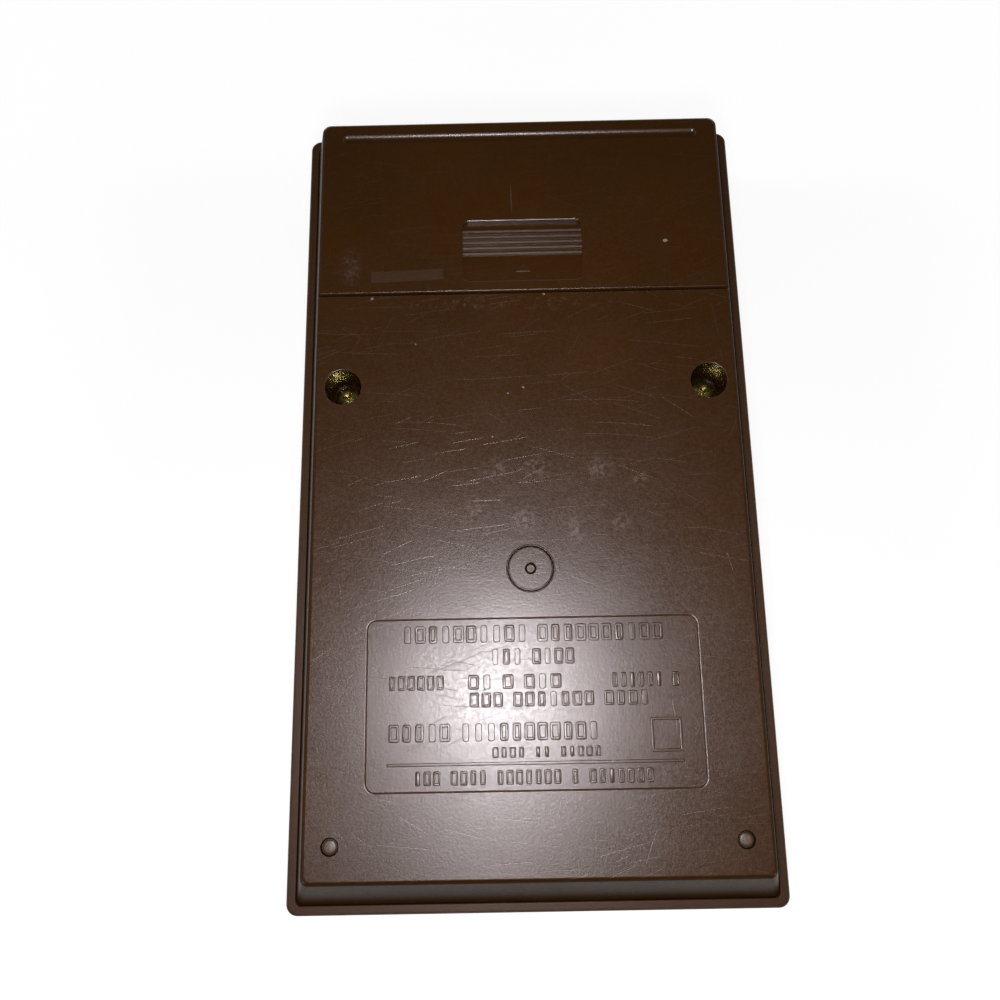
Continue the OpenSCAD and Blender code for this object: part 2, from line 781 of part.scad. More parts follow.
module positive_wire() color("#b3261e") tube(POSITIVE_ROUTE, wire_d, 8, [0, 0, 1]);

module negative_wire() color("#1b1b1d") tube(NEGATIVE_ROUTE, wire_d, 8, [0, 0, 1]);

// ---------- Keys ----------

module key(i) color(i == 3 ? "#a8452c" : i < 8 ? "#5d5348" : "#d9d2c3") {
    w = key_w / 2;
    h = key_h / 2;
    translate([key_x(i), key_y(i), 0]) {
        intersection() {
            extrude_y([[-w, flange_z + 0.1], [w, flange_z + 0.1], [w, face_z],
                [w - key_taper, key_top_z], [-w + key_taper, key_top_z], [-w, face_z]], -h, h);
            extrude_x([[-h, flange_z + 0.1], [h, flange_z + 0.1], [h, face_z],
                [h - key_taper, key_top_z], [-h + key_taper, key_top_z], [-h, face_z]], w);
            rounded_plate(key_w, key_h, 0.7, 0, flange_z + 0.1);
        }
        rounded_plate(flange_x, flange_y, 0.6, flange_z, flange_z + flange_t);
        rod(0, 0, stem_d, flange_z + 0.1, stem_end);
    }
}

front_case();
faceplate();
display_window();
back_cover();
battery_door();
case_screws();
foot_pins();
main_pcb();
pcb_screws();
contact_sheet();
lcd_polariser();
lcd_glass();
lcd_reflector();
lcd_clip();
zebra_strip();
calculator_chip();
filter_capacitor();
ceramic_capacitors();
resistors();
power_knob();
switch_wiper();
battery_upper();
battery_lower();
bridge_contact();
bridge_spring();
positive_contact();
negative_contact();
negative_spring();
positive_wire();
negative_wire();
for (i = [0 : len(KEY_NODES) - 1])
    key(i);
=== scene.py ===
# %% [markdown]
# # A pocket calculator, lying face down
#
# This lesson builds the looks of a pocket calculator of the 1970s kind: a dark brown moulded case
# with a raised back, a battery door with a ribbed thumb recess, two deep screw wells and a label
# panel. The engineering model comes first, as a fixed frame. Each piece that we make here lies
# exactly where the frame says and rides on one of its bodies.

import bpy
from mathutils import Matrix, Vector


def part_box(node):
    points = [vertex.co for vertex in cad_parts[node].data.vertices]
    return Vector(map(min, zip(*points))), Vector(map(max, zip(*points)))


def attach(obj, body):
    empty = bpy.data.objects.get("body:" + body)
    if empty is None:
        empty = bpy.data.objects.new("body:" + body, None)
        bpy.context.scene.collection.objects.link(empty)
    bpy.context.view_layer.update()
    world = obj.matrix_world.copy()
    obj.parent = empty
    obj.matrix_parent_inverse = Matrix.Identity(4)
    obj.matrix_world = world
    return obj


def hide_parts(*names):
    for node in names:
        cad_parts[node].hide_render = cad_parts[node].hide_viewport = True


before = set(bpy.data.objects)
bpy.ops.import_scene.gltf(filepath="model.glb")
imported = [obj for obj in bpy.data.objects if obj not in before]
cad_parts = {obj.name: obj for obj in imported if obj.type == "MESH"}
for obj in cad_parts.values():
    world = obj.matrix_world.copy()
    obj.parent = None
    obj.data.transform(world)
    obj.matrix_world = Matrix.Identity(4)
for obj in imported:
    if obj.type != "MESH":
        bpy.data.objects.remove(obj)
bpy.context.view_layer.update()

# %% [markdown]
# Sizes on a drawing of a small object are in millimetres, while Blender works in metres here. All
# the numbers below are millimetres, and one function turns them into metres when a mesh is made.

# %% Units and small tools
import math
import random

import bmesh
import bpy
from mathutils import Matrix, Vector

MM = 0.001
scene = bpy.context.scene


def corner_box(node):
    """Lowest and highest corner of a frame node, in millimetres."""
    low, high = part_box(node)
    return low / MM, high / MM


case_low, case_high = corner_box("front_case")
door_low, door_high = corner_box("battery_door")
BACK_Z = corner_box("back_cover")[1].z
RIM_Z = case_high.z
# The flat of the raised back, inside its rounded edges.
TOP_HALF_W = 31.4
TOP_Y0 = -55.75
TOP_Y1 = 58.3
print("case:", [round(v, 2) for v in case_high - case_low], "back at", round(BACK_Z, 2))

# %% [markdown]
# ## Meshes from outlines
#
# Most moulded parts are a stack of outlines: rectangles with round corners that change a little
# from one height to the next. A helper that joins such a stack into a closed mesh makes leaning
# walls, rounded edges, shallow recesses and keys alike, and the corners stay smooth at any size.


# %% Outlines and lofts
def outline(x0, x1, y0, y1, r_low, r_high=None, steps=6):
    """Rectangle with round corners; r_low rounds the corners at y0 and r_high those at y1."""
    r_high = r_low if r_high is None else r_high
    corners = [
        (x1 - r_low, y0 + r_low, r_low, -90),
        (x1 - r_high, y1 - r_high, r_high, 0),
        (x0 + r_high, y1 - r_high, r_high, 90),
        (x0 + r_low, y0 + r_low, r_low, 180),
    ]
    points = []
    for cx, cy, r, start in corners:
        for i in range(steps + 1):
            turn = math.radians(start + 90 * i / steps)
            points.append((cx + r * math.cos(turn), cy + r * math.sin(turn)))
    return points


def rework(mesh, *edits):
    """Lets each edit(bm) change a mesh in turn."""
    bm = bmesh.new()
    bm.from_mesh(mesh)
    for edit in edits:
        edit(bm)
    bm.to_mesh(mesh)
    bm.free()


def face_outwards(bm):
    """Turns the faces of a closed mesh outwards."""
    bmesh.ops.recalc_face_normals(bm, faces=bm.faces)


def merged(distance):
    """Edit that joins points closer than a distance in millimetres."""
    return lambda bm: bmesh.ops.remove_doubles(bm, verts=bm.verts, dist=distance * MM)


def linked(name, data):
    """New object in the scene that shows a mesh, a curve, a lamp or a camera."""
    item = bpy.data.objects.new(name, data)
    scene.collection.objects.link(item)
    return item


def new_piece(name, points, faces):
    """Object with a closed mesh, its points in millimetres and its faces turned outwards."""
    mesh = bpy.data.meshes.new(name)
    mesh.from_pydata([Vector(p) * MM for p in points], [], faces)
    rework(mesh, face_outwards)
    return linked(name, mesh)


def loft(name, rings):
    """Closed solid through rings of 3-D points that all have the same number of points."""
    n = len(rings[0])
    points = [p for ring in rings for p in ring]
    faces = [tuple(range(n))[::-1], tuple((len(rings) - 1) * n + i for i in range(n))]
    for k in range(len(rings) - 1):
        for i in range(n):
            j = (i + 1) % n
            faces.append((k * n + i, k * n + j, (k + 1) * n + j, (k + 1) * n + i))
    return new_piece(name, points, faces)


def at_height(points, z):
    """Plan points lifted to one height."""
    return [(x, y, z) for x, y in points]


def ring_at(z, half_x, half_y, r, x=0, y=0, steps=8):
    """Ring of a rectangle with round corners round x, y, at one height."""
    return at_height(outline(x - half_x, x + half_x, y - half_y, y + half_y, r, steps=steps), z)


def grown_ring(z, box, out, r):
    """Ring of a box (x0, x1, y0, y1) that is grown by out on every side, corners included."""
    x0, x1, y0, y1 = box
    return at_height(outline(x0 - out, x1 + out, y0 - out, y1 + out, r + out, steps=8), z)


def quarter_turn(steps):
    """Cosine and sine at even steps from 0 to 90 degrees, for a rounded edge."""
    turns = [math.radians(90 * i / steps) for i in range(steps + 1)]
    return [(math.cos(turn), math.sin(turn)) for turn in turns]


print("a rectangle with round corners has", len(outline(-1, 1, -1, 1, 0.2)), "points")

# %% [markdown]
# Round things, such as screws, cells and wells, are turned: a profile of radius and height is spun
# round an axis. Blender has a Spin operator for this, but building the rings in code keeps the
# poles closed and the mesh the same on every run.


# %% Turned pieces
ON_AXIS = 1e-6


def turned(name, profile, x=0, y=0, steps=64, ring=False):
    """Profile of (radius, height) spun round the upright axis at x, y; ring=True joins its ends."""
    points, faces, rows = [], [], []
    for radius, z in profile:
        if radius < ON_AXIS:
            rows.append([len(points)] * steps)
            points.append((x, y, z))
            continue
        rows.append([len(points) + s for s in range(steps)])
        for s in range(steps):
            turn = 2 * math.pi * s / steps
            points.append((x + radius * math.cos(turn), y + radius * math.sin(turn), z))
    pairs = list(zip(rows, rows[1:]))
    if ring:
        pairs.append((rows[-1], rows[0]))
    for low, high in pairs:
        for s in range(steps):
            t = (s + 1) % steps
            face = []
            for corner in (low[s], low[t], high[t], high[s]):
                if corner not in face:
                    face.append(corner)
            if len(face) > 2:
                faces.append(tuple(face))
    return new_piece(name, points, faces)


def block(name, low, high):
    """Plain box between two corners, used as a cutting tool."""
    points = outline(low[0], high[0], low[1], high[1], 0.001, steps=1)
    return loft(name, [at_height(points, low[2]), at_height(points, high[2])])


print("turned and plain blocks are ready")

# %% [markdown]
# ## Cutting and joining
#
# A Boolean modifier can subtract, intersect or join solids. The frame's own parts already hold the
# hidden bosses, rails and ledges, so a copy of one is trimmed to a smoother outer shape rather than
# drawn again. The modifiers are applied at once, so that each piece ends as a plain mesh.


# %% Boolean tools
def settle(piece):
    """Replaces the piece's mesh with what its modifiers make of it, and removes them."""
    bpy.context.view_layer.update()
    graph = bpy.context.evaluated_depsgraph_get()
    mesh = bpy.data.meshes.new_from_object(piece.evaluated_get(graph))
    piece.modifiers.clear()
    piece.data = mesh
    return piece


def boolean(piece, how, tools):
    """Applies DIFFERENCE, INTERSECT or UNION with each tool, and throws the tools away."""
    for tool in tools:
        cut = piece.modifiers.new(how, "BOOLEAN")
        cut.operation = how
        cut.solver = "MANIFOLD"
        cut.object = tool
    settle(piece)
    for tool in tools:
        bpy.data.objects.remove(tool)
    return piece


def cad_copy(node, name):
    """Closed copy of a frame node, its loose triangles merged."""
    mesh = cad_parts[node].data.copy()
    mesh.materials.clear()
    rework(mesh, merged(0.0005))
    return linked(name, mesh)


print("cutting and joining are ready")

# %% [markdown]
# Smooth shading hides the facets of a rounded edge, but it also smears light over the flat faces
# beside it. Marking the real corners sharp, and weighting the normals by face area, keeps flat
# faces flat while the small roundings still catch the light.


# %% Shading
FLAT_ANGLE = math.radians(0.2)
BEVEL_ANGLE = math.radians(35)


def join_flats(bm):
    """Joins faces that lie in one plane."""
    bmesh.ops.dissolve_limit(bm, angle_limit=FLAT_ANGLE, verts=bm.verts, edges=bm.edges)


def soften(piece, corner=32):
    """Smooth shading with sharp corners and area-weighted normals."""

    def mark_corners(bm):
        """Marks the edges that turn by more than the corner angle."""
        for face in bm.faces:
            face.smooth = True
        for edge in bm.edges:
            if len(edge.link_faces) == 2:
                edge.smooth = edge.calc_face_angle(0) < math.radians(corner)

    rework(piece.data, merged(0.001), join_flats, mark_corners)
    normals = piece.modifiers.new("flat faces", "WEIGHTED_NORMAL")
    normals.keep_sharp = True
    return settle(piece)


def ease_edges(piece, width, segments=2):
    """Rounds every corner edge by the same small width, as sheet and small mouldings have."""
    rework(piece.data, join_flats)
    bevel = piece.modifiers.new("eased", "BEVEL")
    bevel.width = width * MM
    bevel.segments = segments
    bevel.limit_method = "ANGLE"
    bevel.angle_limit = BEVEL_ANGLE
    return settle(piece)


print("smooth faces and crisp edges are ready")

# %% [markdown]
# Each finished piece is handed over in the same way: it gets its material, it rides on a body of
# the frame, and it stands in for the plain node that it covers. Printing its size and triangle
# count is a quick check that nothing slipped.


# %% Handing a piece over
made = {}


def hand_over(piece, body, nodes, finish):
    """Finishes a piece and reports it."""
    piece.data.materials.clear()
    piece.data.materials.append(finish)
    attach(piece, body)
    if nodes:
        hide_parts(*nodes)
    triangles = sum(len(p.vertices) - 2 for p in piece.data.polygons)
    made[piece.name] = triangles
    columns = [[v.co[i] for v in piece.data.vertices] for i in range(3)]
    spans = [round((max(column) - min(column)) / MM, 2) for column in columns]
    print(f"{piece.name}: {triangles} triangles, {spans} mm on {body}")
    return piece


# %% [markdown]
# ## Finishes made from nodes
#
# Every finish is a small node tree. The tools below keep the trees readable: one function adds a
# node and joins its inputs, and a few others build masks in Object coordinates, so that a mark
# stays at its place on the part, in real millimetres, whatever the camera does.


# %% Node tools
def join(socket, value):
    """Puts a constant or another node's output on an input socket."""
    if isinstance(value, bpy.types.NodeSocket):
        socket.id_data.links.new(value, socket)
    else:
        socket.default_value = value


def add_node(tree, kind, inputs=(), out=0, **settings):
    """Adds a node, fills its inputs by name or number, and returns one of its outputs."""
    made_node = tree.nodes.new(kind)
    for key, value in settings.items():
        setattr(made_node, key, value)
    for key, value in dict(inputs).items():
        join(made_node.inputs[key], value)
    return made_node.outputs[out]


def ramp_ends(value, low, high, out_low, out_high):
    """Inputs of a Map Range node."""
    return {"Value": value, "From Min": low, "From Max": high, "To Min": out_low, "To Max": out_high}


SMOOTH = {"interpolation_type": "SMOOTHSTEP"}
EVERY_HEIGHT = 1e6


class Finish:
    """Material with short ways to add nodes to it."""

    def __init__(self, name, color, roughness, metallic=0.0):
        self.material = bpy.data.materials.new(name)
        self.material.use_nodes = True
        self.tree = self.material.node_tree
        self.shader = self.tree.nodes["Principled BSDF"]
        self.set("Base Color", (*color, 1))
        self.set("Roughness", roughness)
        self.set("Metallic", metallic)

    def set(self, socket, value):
        """Puts a constant or another node's output on the shader."""
        join(self.shader.inputs[socket], value)

    def node(self, kind, inputs=(), out=0, **settings):
        """Adds a node to this material."""
        return add_node(self.tree, kind, inputs, out, **settings)

    def place(self):
        """Object coordinates in millimetres."""
        where = self.node("ShaderNodeTexCoord", out="Object")
        return self.node("ShaderNodeVectorMath", {0: where, "Scale": 1 / MM}, operation="SCALE")

    def math(self, how, a, b=0.0, c=0.0):
        """One sum of up to three values."""
        return self.node("ShaderNodeMath", {0: a, 1: b, 2: c}, operation=how)

    def times(self, a, b):
        """a multiplied by b."""
        return self.math("MULTIPLY", a, b)

    def less(self, a, b):
        """a minus b."""
        return self.math("SUBTRACT", a, b)

    def scaled(self, a, factor, start):
        """start plus a times factor."""
        return self.math("MULTIPLY_ADD", a, factor, start)

    def axis(self, vector, i):
        """One coordinate of a vector: 0, 1 or 2 for X, Y or Z."""
        return self.node("ShaderNodeSeparateXYZ", {0: vector}, out=i)

    def mirrored(self, vector):
        """The vector without its signs, so that a mark repeats on both sides of the axes."""
        return self.node("ShaderNodeVectorMath", {0: vector}, operation="ABSOLUTE")

    def distance(self, vector):
        """Length of a vector."""
        return self.node("ShaderNodeVectorMath", {0: vector}, out="Value", operation="LENGTH")

    def ramp(self, value, low, high, out_low=0.0, out_high=1.0):
        """Smooth step from out_low at low to out_high at high."""
        return self.node("ShaderNodeMapRange", ramp_ends(value, low, high, out_low, out_high), **SMOOTH)

    def noise(self, where, scale, detail=2.0, roughness=0.5):
        """Cloudy noise, from 0 to 1."""
        sizes = {"Vector": where, "Scale": scale, "Detail": detail, "Roughness": roughness}
        return self.node("ShaderNodeTexNoise", sizes, out="Fac")

    def mapped(self, where, turn=0.0, scale=(1, 1, 1), move=(0, 0, 0)):
        """Coordinates of a pattern that is moved, turned in plan and stretched."""
        spin = (0, 0, math.radians(turn))
        moves = {"Vector": where, "Location": move, "Rotation": spin, "Scale": scale}
        return self.node("ShaderNodeMapping", moves, vector_type="TEXTURE")

    def spot(self, where, x, y, wide, high, soft=1.0, turn=0.0):
        """1 inside an ellipse round x, y and 0 outside it, in plan."""
        local = self.mapped(where, turn, (wide, high, EVERY_HEIGHT), (x, y, 0))
        return self.ramp(self.distance(local), 1.0, max(0.0, 1.0 - soft), 0.0, 1.0)

    def ring(self, where, x, y, radius, half_t):
        """1 on a ring round x, y, in plan."""
        far = self.distance(self.mapped(where, 0, (1, 1, EVERY_HEIGHT), (x, y, 0)))
        return self.ramp(self.math("ABSOLUTE", self.less(far, radius)), half_t, 0.6 * half_t)

    def off_panel(self, where, y, half_x, half_y):
        """How far a point lies outside a rectangle centred at 0, y, in plan; less than 0 inside."""
        apart = self.mirrored(self.mapped(where, 0, (1, 1, 1), (0, y, 0)))
        off_x, off_y = self.less(self.axis(apart, 0), half_x), self.less(self.axis(apart, 1), half_y)
        return self.most([off_x, off_y])

    def speckle(self, where, size, low, high):
        """Fine broken mask with grains of about the given size."""
        return self.ramp(self.noise(where, 1 / size, 3.0, 0.7), low, high)

    def blend(self, amount, a, b):
        """Colour a where amount is 0 and colour b where it is 1."""
        colors = [c if isinstance(c, bpy.types.NodeSocket) else (*c, 1) for c in (a, b)]
        inputs = {0: amount, 6: colors[0], 7: colors[1]}
        return self.node("ShaderNodeMix", inputs, out=2, data_type="RGBA")

    def most(self, masks):
        """The strongest of several masks."""
        total = masks[0]
        for mask in masks[1:]:
            total = self.math("MAXIMUM", total, mask)
        return total

    def relief(self, height, strength=0.3, distance=0.05):
        """Bumps the surface by a mask, at most distance millimetres."""
        inputs = {"Height": height, "Strength": strength, "Distance": distance * MM}
        self.set("Normal", self.node("ShaderNodeBump", inputs, out="Normal"))


print("materials are built from small node helpers")

# %% [markdown]
# The case is brown ABS, a plastic that is moulded glossy and then goes dull where hands and pockets
# rub it. Its hairline scratches are long, thin and nearly straight, and most of them lie across the
# case. Here the surface is divided into narrow strips, each strip into lengths, and a random number
# decides for each length whether it holds a scratch. This keeps every line equally thin.

# %% Case plastic
BROWN = (0.0288, 0.0104, 0.0008)
WORN_BROWN = (0.066, 0.042, 0.028)
# Pale wear; on the rim's outer edge and in one seam speck it is a painted highlight.
PALE_WEAR_AND_HIGHLIGHT = (0.20, 0.165, 0.15)
# Dark brown of painted shade on the leaning walls, in the screw wells and at the foot of the label
# strokes, and of dirt with painted shade in the rings.
SHADE_AND_DIRT = (0.004, 0.0025, 0.0015)
# Angle in degrees, strip width and length in millimetres, and share of lengths that stay bare.
SCRATCHES = (
    (7, 1.1, 11, 0.55), (-6, 1.3, 14, 0.58), (14, 1.2, 9, 0.55), (-13, 1.7, 10, 0.62),
    (27, 1.5, 7, 0.62), (-29, 2.6, 8, 0.72), (64, 3.3, 6, 0.78), (101, 4.1, 6, 0.80),
)
LINE_HALF_T = 0.055
# How far painted shade, with dirt in the rings, darkens each place, and what it leaves of the gloss.
WALL_SHADE, WALL_GLOSS = 0.34, 0.03
RING_DIRT_AND_SHADE, WELL_SHADE = 0.75, 0.75
WELL_POLISH, WELL_GLOSS_LOSS = -0.12, -0.36
HAZE_ROUGHNESS, SCRATCH_ROUGHNESS = 0.05, 0.12
GRAIN = 1.3


def hairlines(finish, where, seed, turn, spacing, length, bare):
    """Mask of thin broken lines that run at about the given angle."""
    local = finish.mapped(where, turn, (1, 1, 1), (seed * 31.7, seed * 17.3, 0))
    bend = finish.noise(finish.mapped(local, 0, (38, 60, 60)), 1.0, 0.0)
    along = finish.axis(local, 0)
    across = finish.axis(local, 1)
    strip = finish.math("DIVIDE", finish.scaled(bend, 9.0, across), spacing)
    number = finish.math("FLOOR", strip)
    key = finish.math("ADD", number, seed * 13.7)
    own = finish.node("ShaderNodeTexWhiteNoise", {"W": key}, noise_dimensions="1D")
    centre = finish.scaled(own, 0.7, 0.15)
    off = finish.math("ABSOLUTE", finish.less(finish.math("FRACT", strip), centre))
    line = finish.ramp(finish.times(off, spacing), LINE_HALF_T, 0.25 * LINE_HALF_T)
    place = finish.scaled(own, 9.1, finish.math("DIVIDE", along, length))
    pair = finish.node("ShaderNodeCombineXYZ", {0: number, 1: finish.math("FLOOR", place), 2: seed})
    chance = finish.node("ShaderNodeTexWhiteNoise", {"Vector": pair}, noise_dimensions="3D")
    again = finish.node("ShaderNodeTexWhiteNoise", {"Vector": pair}, noise_dimensions="3D", out="Color")
    reach = finish.scaled(finish.axis(again, 1), 0.36, 0.12)
    middle = finish.math("ABSOLUTE", finish.less(finish.math("FRACT", place), 0.5))
    taper = finish.ramp(finish.less(middle, reach), 0.0, -0.10)
    depth = finish.math("POWER", finish.ramp(chance, bare, 1.0), 1.6)
    return finish.times(finish.times(line, taper), depth)


def case_plastic(
    name, marks, scratch_share, roughness=0.325, shine=0.5, rings=(), wells=(), hazes=(), shade_below=None
):
    """Brown moulded plastic with fine scratches.

    marks(finish, where) gives a mask of pale wear, which is a painted highlight where the marks
    say so. Rings (x, y, radius, half width) are darkened by dirt and painted shade. Wells (x, y,
    radius) are darkened by painted shade and made smoother, with less specular. Hazes (x, y, half
    width, half height) are rubbed duller than the rest. Painted shade also darkens all that lies
    below a given height.
    """
    finish = Finish(name, BROWN, roughness)
    where = finish.place()
    lines = finish.most([hairlines(finish, where, i + 1, *row) for i, row in enumerate(SCRATCHES)])
    area = finish.noise(finish.mapped(where, 12, (34, 22, 30), (9, 4, 0)), 1.0, 2.0)
    left = finish.spot(where, -12, 2, 30, 28, 1.0)
    busy = finish.math("MAXIMUM", finish.ramp(area, 0.3, 0.62, 0.35, 0.85), left)
    lines = finish.times(finish.times(lines, busy), scratch_share)
    cloud = finish.noise(where, 0.035, 4.0, 0.6)
    tone = finish.blend(finish.ramp(cloud, 0.35, 0.75), BROWN, tuple(1.2 * c for c in BROWN))
    tone = finish.blend(lines, tone, WORN_BROWN)
    tone = finish.blend(marks(finish, where), tone, PALE_WEAR_AND_HIGHLIGHT)
    on_wall = leaning_walls(finish, where)
    # Painted shade: the leaning walls are darkened towards the dark brown.
    tone = finish.blend(finish.times(on_wall, WALL_SHADE), tone, SHADE_AND_DIRT)
    gloss = finish.scaled(on_wall, WALL_GLOSS - shine, shine)
    rub = finish.noise(where, 0.11, 5.0, 0.65)
    dull = finish.ramp(rub, 0.3, 0.75, roughness - 0.02, roughness + 0.02)
    fine = finish.ramp(finish.noise(where, 1.6, 3.0, 0.7), 0.35, 0.65, -0.03, 0.03)
    dull = finish.scaled(lines, SCRATCH_ROUGHNESS, finish.math("ADD", dull, fine))
    if hazes:
        haze = finish.most([finish.spot(where, x, y, w, h, 1.0) for x, y, w, h in hazes])
        dull = finish.scaled(haze, HAZE_ROUGHNESS, dull)
    if rings:
        # Dirt and painted shade: the rings in the gate groove, the dimple and round the pins are
        # darkened.
        ring_dirt_and_shade = finish.most([finish.ring(where, *row) for row in rings])
        tone = finish.blend(finish.times(ring_dirt_and_shade, RING_DIRT_AND_SHADE), tone, SHADE_AND_DIRT)
        gloss = finish.times(gloss, finish.less(1.0, ring_dirt_and_shade))
    if wells:
        # Painted shade: the screw wells are darkened.
        in_wells = finish.most([finish.spot(where, x, y, r, r, 0.03) for x, y, r in wells])
        tone = finish.blend(finish.times(in_wells, WELL_SHADE), tone, SHADE_AND_DIRT)
        dull = finish.scaled(in_wells, WELL_POLISH, dull)
        gloss = finish.scaled(in_wells, WELL_GLOSS_LOSS, gloss)
    if shade_below:
        # Painted shade: everything below the given height, at the foot of the raised strokes, is
        # darkened.
        height = finish.axis(where, 2)
        low = finish.ramp(height, shade_below, shade_below - 0.04)
        tone = finish.blend(low, tone, SHADE_AND_DIRT)
        gloss = finish.times(gloss, finish.less(1.0, low))
    finish.set("Base Color", tone)
    finish.set("Roughness", dull)
    finish.set("IOR", 1.52)
    finish.set("Specular IOR Level", gloss)
    grain = finish.noise(where, 2.6, 4.0, 0.7)
    finish.relief(finish.scaled(lines, -1.0, finish.times(grain, GRAIN)), 0.5, 0.03)
    return finish.material


def leaning_walls(finish, where):
    """1 on the leaning walls round the raised back, darkened as painted shade and less glossy."""
    sides = finish.mirrored(where)
    across = finish.axis(sides, 0)
    along = finish.axis(where, 1)
    past_side = finish.less(across, TOP_HALF_W - 0.35)
    past_bottom = finish.less(TOP_Y0 + 0.4, along)
    past_top = finish.less(along, TOP_Y1)
    outside = finish.most([past_side, past_bottom, past_top])
    height = finish.axis(where, 2)
    return finish.times(finish.ramp(outside, -0.05, 0.2), finish.ramp(height, RIM_Z, RIM_Z + 0.1))


# Rubbed patches: x, y, half width, half height. Pale specks: x, y, radius; the one at -23.1, 27.8 is a
# painted glint.
PATCHES = (
    (-4.9, 0.4, 2.6, 2.6), (0.9, 0.8, 3.0, 2.8), (10.4, 0.3, 3.0, 2.8), (16.2, -1.4, 2.0, 1.6),
    (-0.9, -7.0, 2.6, 3.3), (6.5, -8.6, 2.4, 3.0), (13.2, -7.8, 2.4, 1.8), (-7.6, -5.4, 2.2, 2.6),
)
SPECKS = (
    (-0.4, 13.0, 0.2), (-2.7, 12.1, 0.17), (-16.4, 20.2, 0.14),
    (-23.1, 27.8, 0.26), (3.1, 28.0, 0.2), (-5.1, 5.4, 0.16),
)


def cover_marks(finish, where):
    """Rubbed patches below the screws, pale specks (one a painted glint) and bruises on the seam."""
    soft = [finish.spot(where, *row) for row in PATCHES]
    rubbed = finish.times(finish.most(soft), finish.speckle(where, 0.62, 0.44, 0.62))
    seam = finish.spot(where, -2, 26.6, 26, 1.9)
    worn_seam = finish.times(seam, finish.speckle(where, 0.8, 0.52, 0.75))
    # One of these specks, at the seam, is a painted glint.
    specks = [finish.spot(where, x, y, r, r, 0.4) for x, y, r in SPECKS]
    total = finish.scaled(rubbed, 0.26, finish.times(worn_seam, 0.20))
    return finish.math("MAXIMUM", total, finish.times(finish.most(specks), 0.9))


def door_marks(finish, where):
    """Smudge by the left edge, a greyed strip where a sticker sat, one long scratch and a chip."""
    by_edge = finish.spot(where, -26.4, 33.2, 2.4, 4.4)
    smudge = finish.times(by_edge, finish.speckle(where, 0.6, 0.35, 0.75))
    strip = finish.mapped(where, 2, (5.7, 0.95, EVERY_HEIGHT), (-17.8, 31.5, 0))
    corner = finish.mirrored(strip)
    apart = finish.axis(corner, 0)
    side = finish.axis(corner, 1)
    greyed = finish.ramp(finish.math("MAXIMUM", apart, side), 1.0, 0.94)
    scratch = finish.spot(where, -1.55, 44.5, 0.13, 3.2, 0.6)
    chip = finish.spot(where, 22.1, 36.6, 0.42, 0.3, 0.3)
    total = finish.scaled(smudge, 0.20, finish.times(greyed, 0.06))
    total = finish.math("MAXIMUM", total, finish.times(scratch, 0.16))
    return finish.math("MAXIMUM", total, chip)


def rim_wear_and_highlight(finish, where):
    """The case's outer back edge is paler than its face: rubbed wear and a painted highlight."""
    sides = finish.mirrored(where)
    across = finish.axis(sides, 0)
    along = finish.axis(sides, 1)
    outer = finish.math("MAXIMUM", across, finish.less(along, (case_high.y - case_high.x)))
    height = finish.axis(where, 2)
    # Painted highlight with rubbed wear: the rounded outer edge is made paler.
    edge = finish.ramp(outer, case_high.x - 0.42, case_high.x - 0.1)
    edge = finish.times(edge, finish.ramp(height, RIM_Z - 0.7, RIM_Z - 0.2))
    uneven = finish.speckle(where, 1.5, 0.2, 0.75)
    return finish.scaled(finish.times(edge, uneven), 0.25, 0.03)


GATE_Y = -14.2
GATE_R = 3.4
GATE_GROOVE = 0.35
PINS = [(-27.6, -51), (27.6, -51)]
PIN_RING_R = 1.15
SCREWS = [(-27.25, 13.6), (27.25, 13.6)]
WELL_R = 2.7
# These rings get dirt and painted shade: the gate groove, the gate's dimple and the pin rings.
dark_rings = [(0, GATE_Y, GATE_R - GATE_GROOVE / 2, 0.14), (0, GATE_Y, 0.68, 0.2)]
dark_rings += [(x, y, PIN_RING_R - 0.04, 0.13) for x, y in PINS]
screw_wells = [(x, y, WELL_R + 0.04) for x, y in SCREWS]
hazes = [(-12.9, -18.5, 8.5, 4.5), (9.2, -18.5, 4.5, 4.5)]
cover_wear_and_shade = {"rings": dark_rings, "wells": screw_wells, "hazes": hazes}
cover_plastic = case_plastic("case_plastic_cover", cover_marks, 0.55, **cover_wear_and_shade)
# The label's raised strokes get painted shade at their foot.
label_plastic = case_plastic("case_plastic_label", cover_marks, 0.4, shade_below=BACK_Z - 0.16)
door_plastic = case_plastic("case_plastic_door", door_marks, 0.25)
front_plastic = case_plastic("case_plastic_front", rim_wear_and_highlight, 0.3, 0.45, 0.2)
print("case finishes:", cover_plastic.name, door_plastic.name, front_plastic.name)

# %% [markdown]
# The raised back leans inwards on both sides and at the bottom, so that the mould can open, and
# its edges are rounded by about half a millimetre. One table of heights and insets describes the
# lean and the rounding together. The cover and the battery door use the same table, and this is
# why their surfaces meet at the seam.

# %% Raised back
BACK_HALF_W = 33.5
SIDE_LEAN = 2.1
BOTTOM_LEAN = 3.75
TOP_LEAN = 1.2
BACK_Y0 = -59.5
BACK_Y1 = door_high.y
COVER_END = 28.35
DOOR_START = door_low.y
ROUND = 0.5
# The visible skin lies a hair inside the frame, and a cutting tool ends a hair outside it.
SKIN = 0.015
CLEAR = 0.004
SEAM_SHARE = 0.45


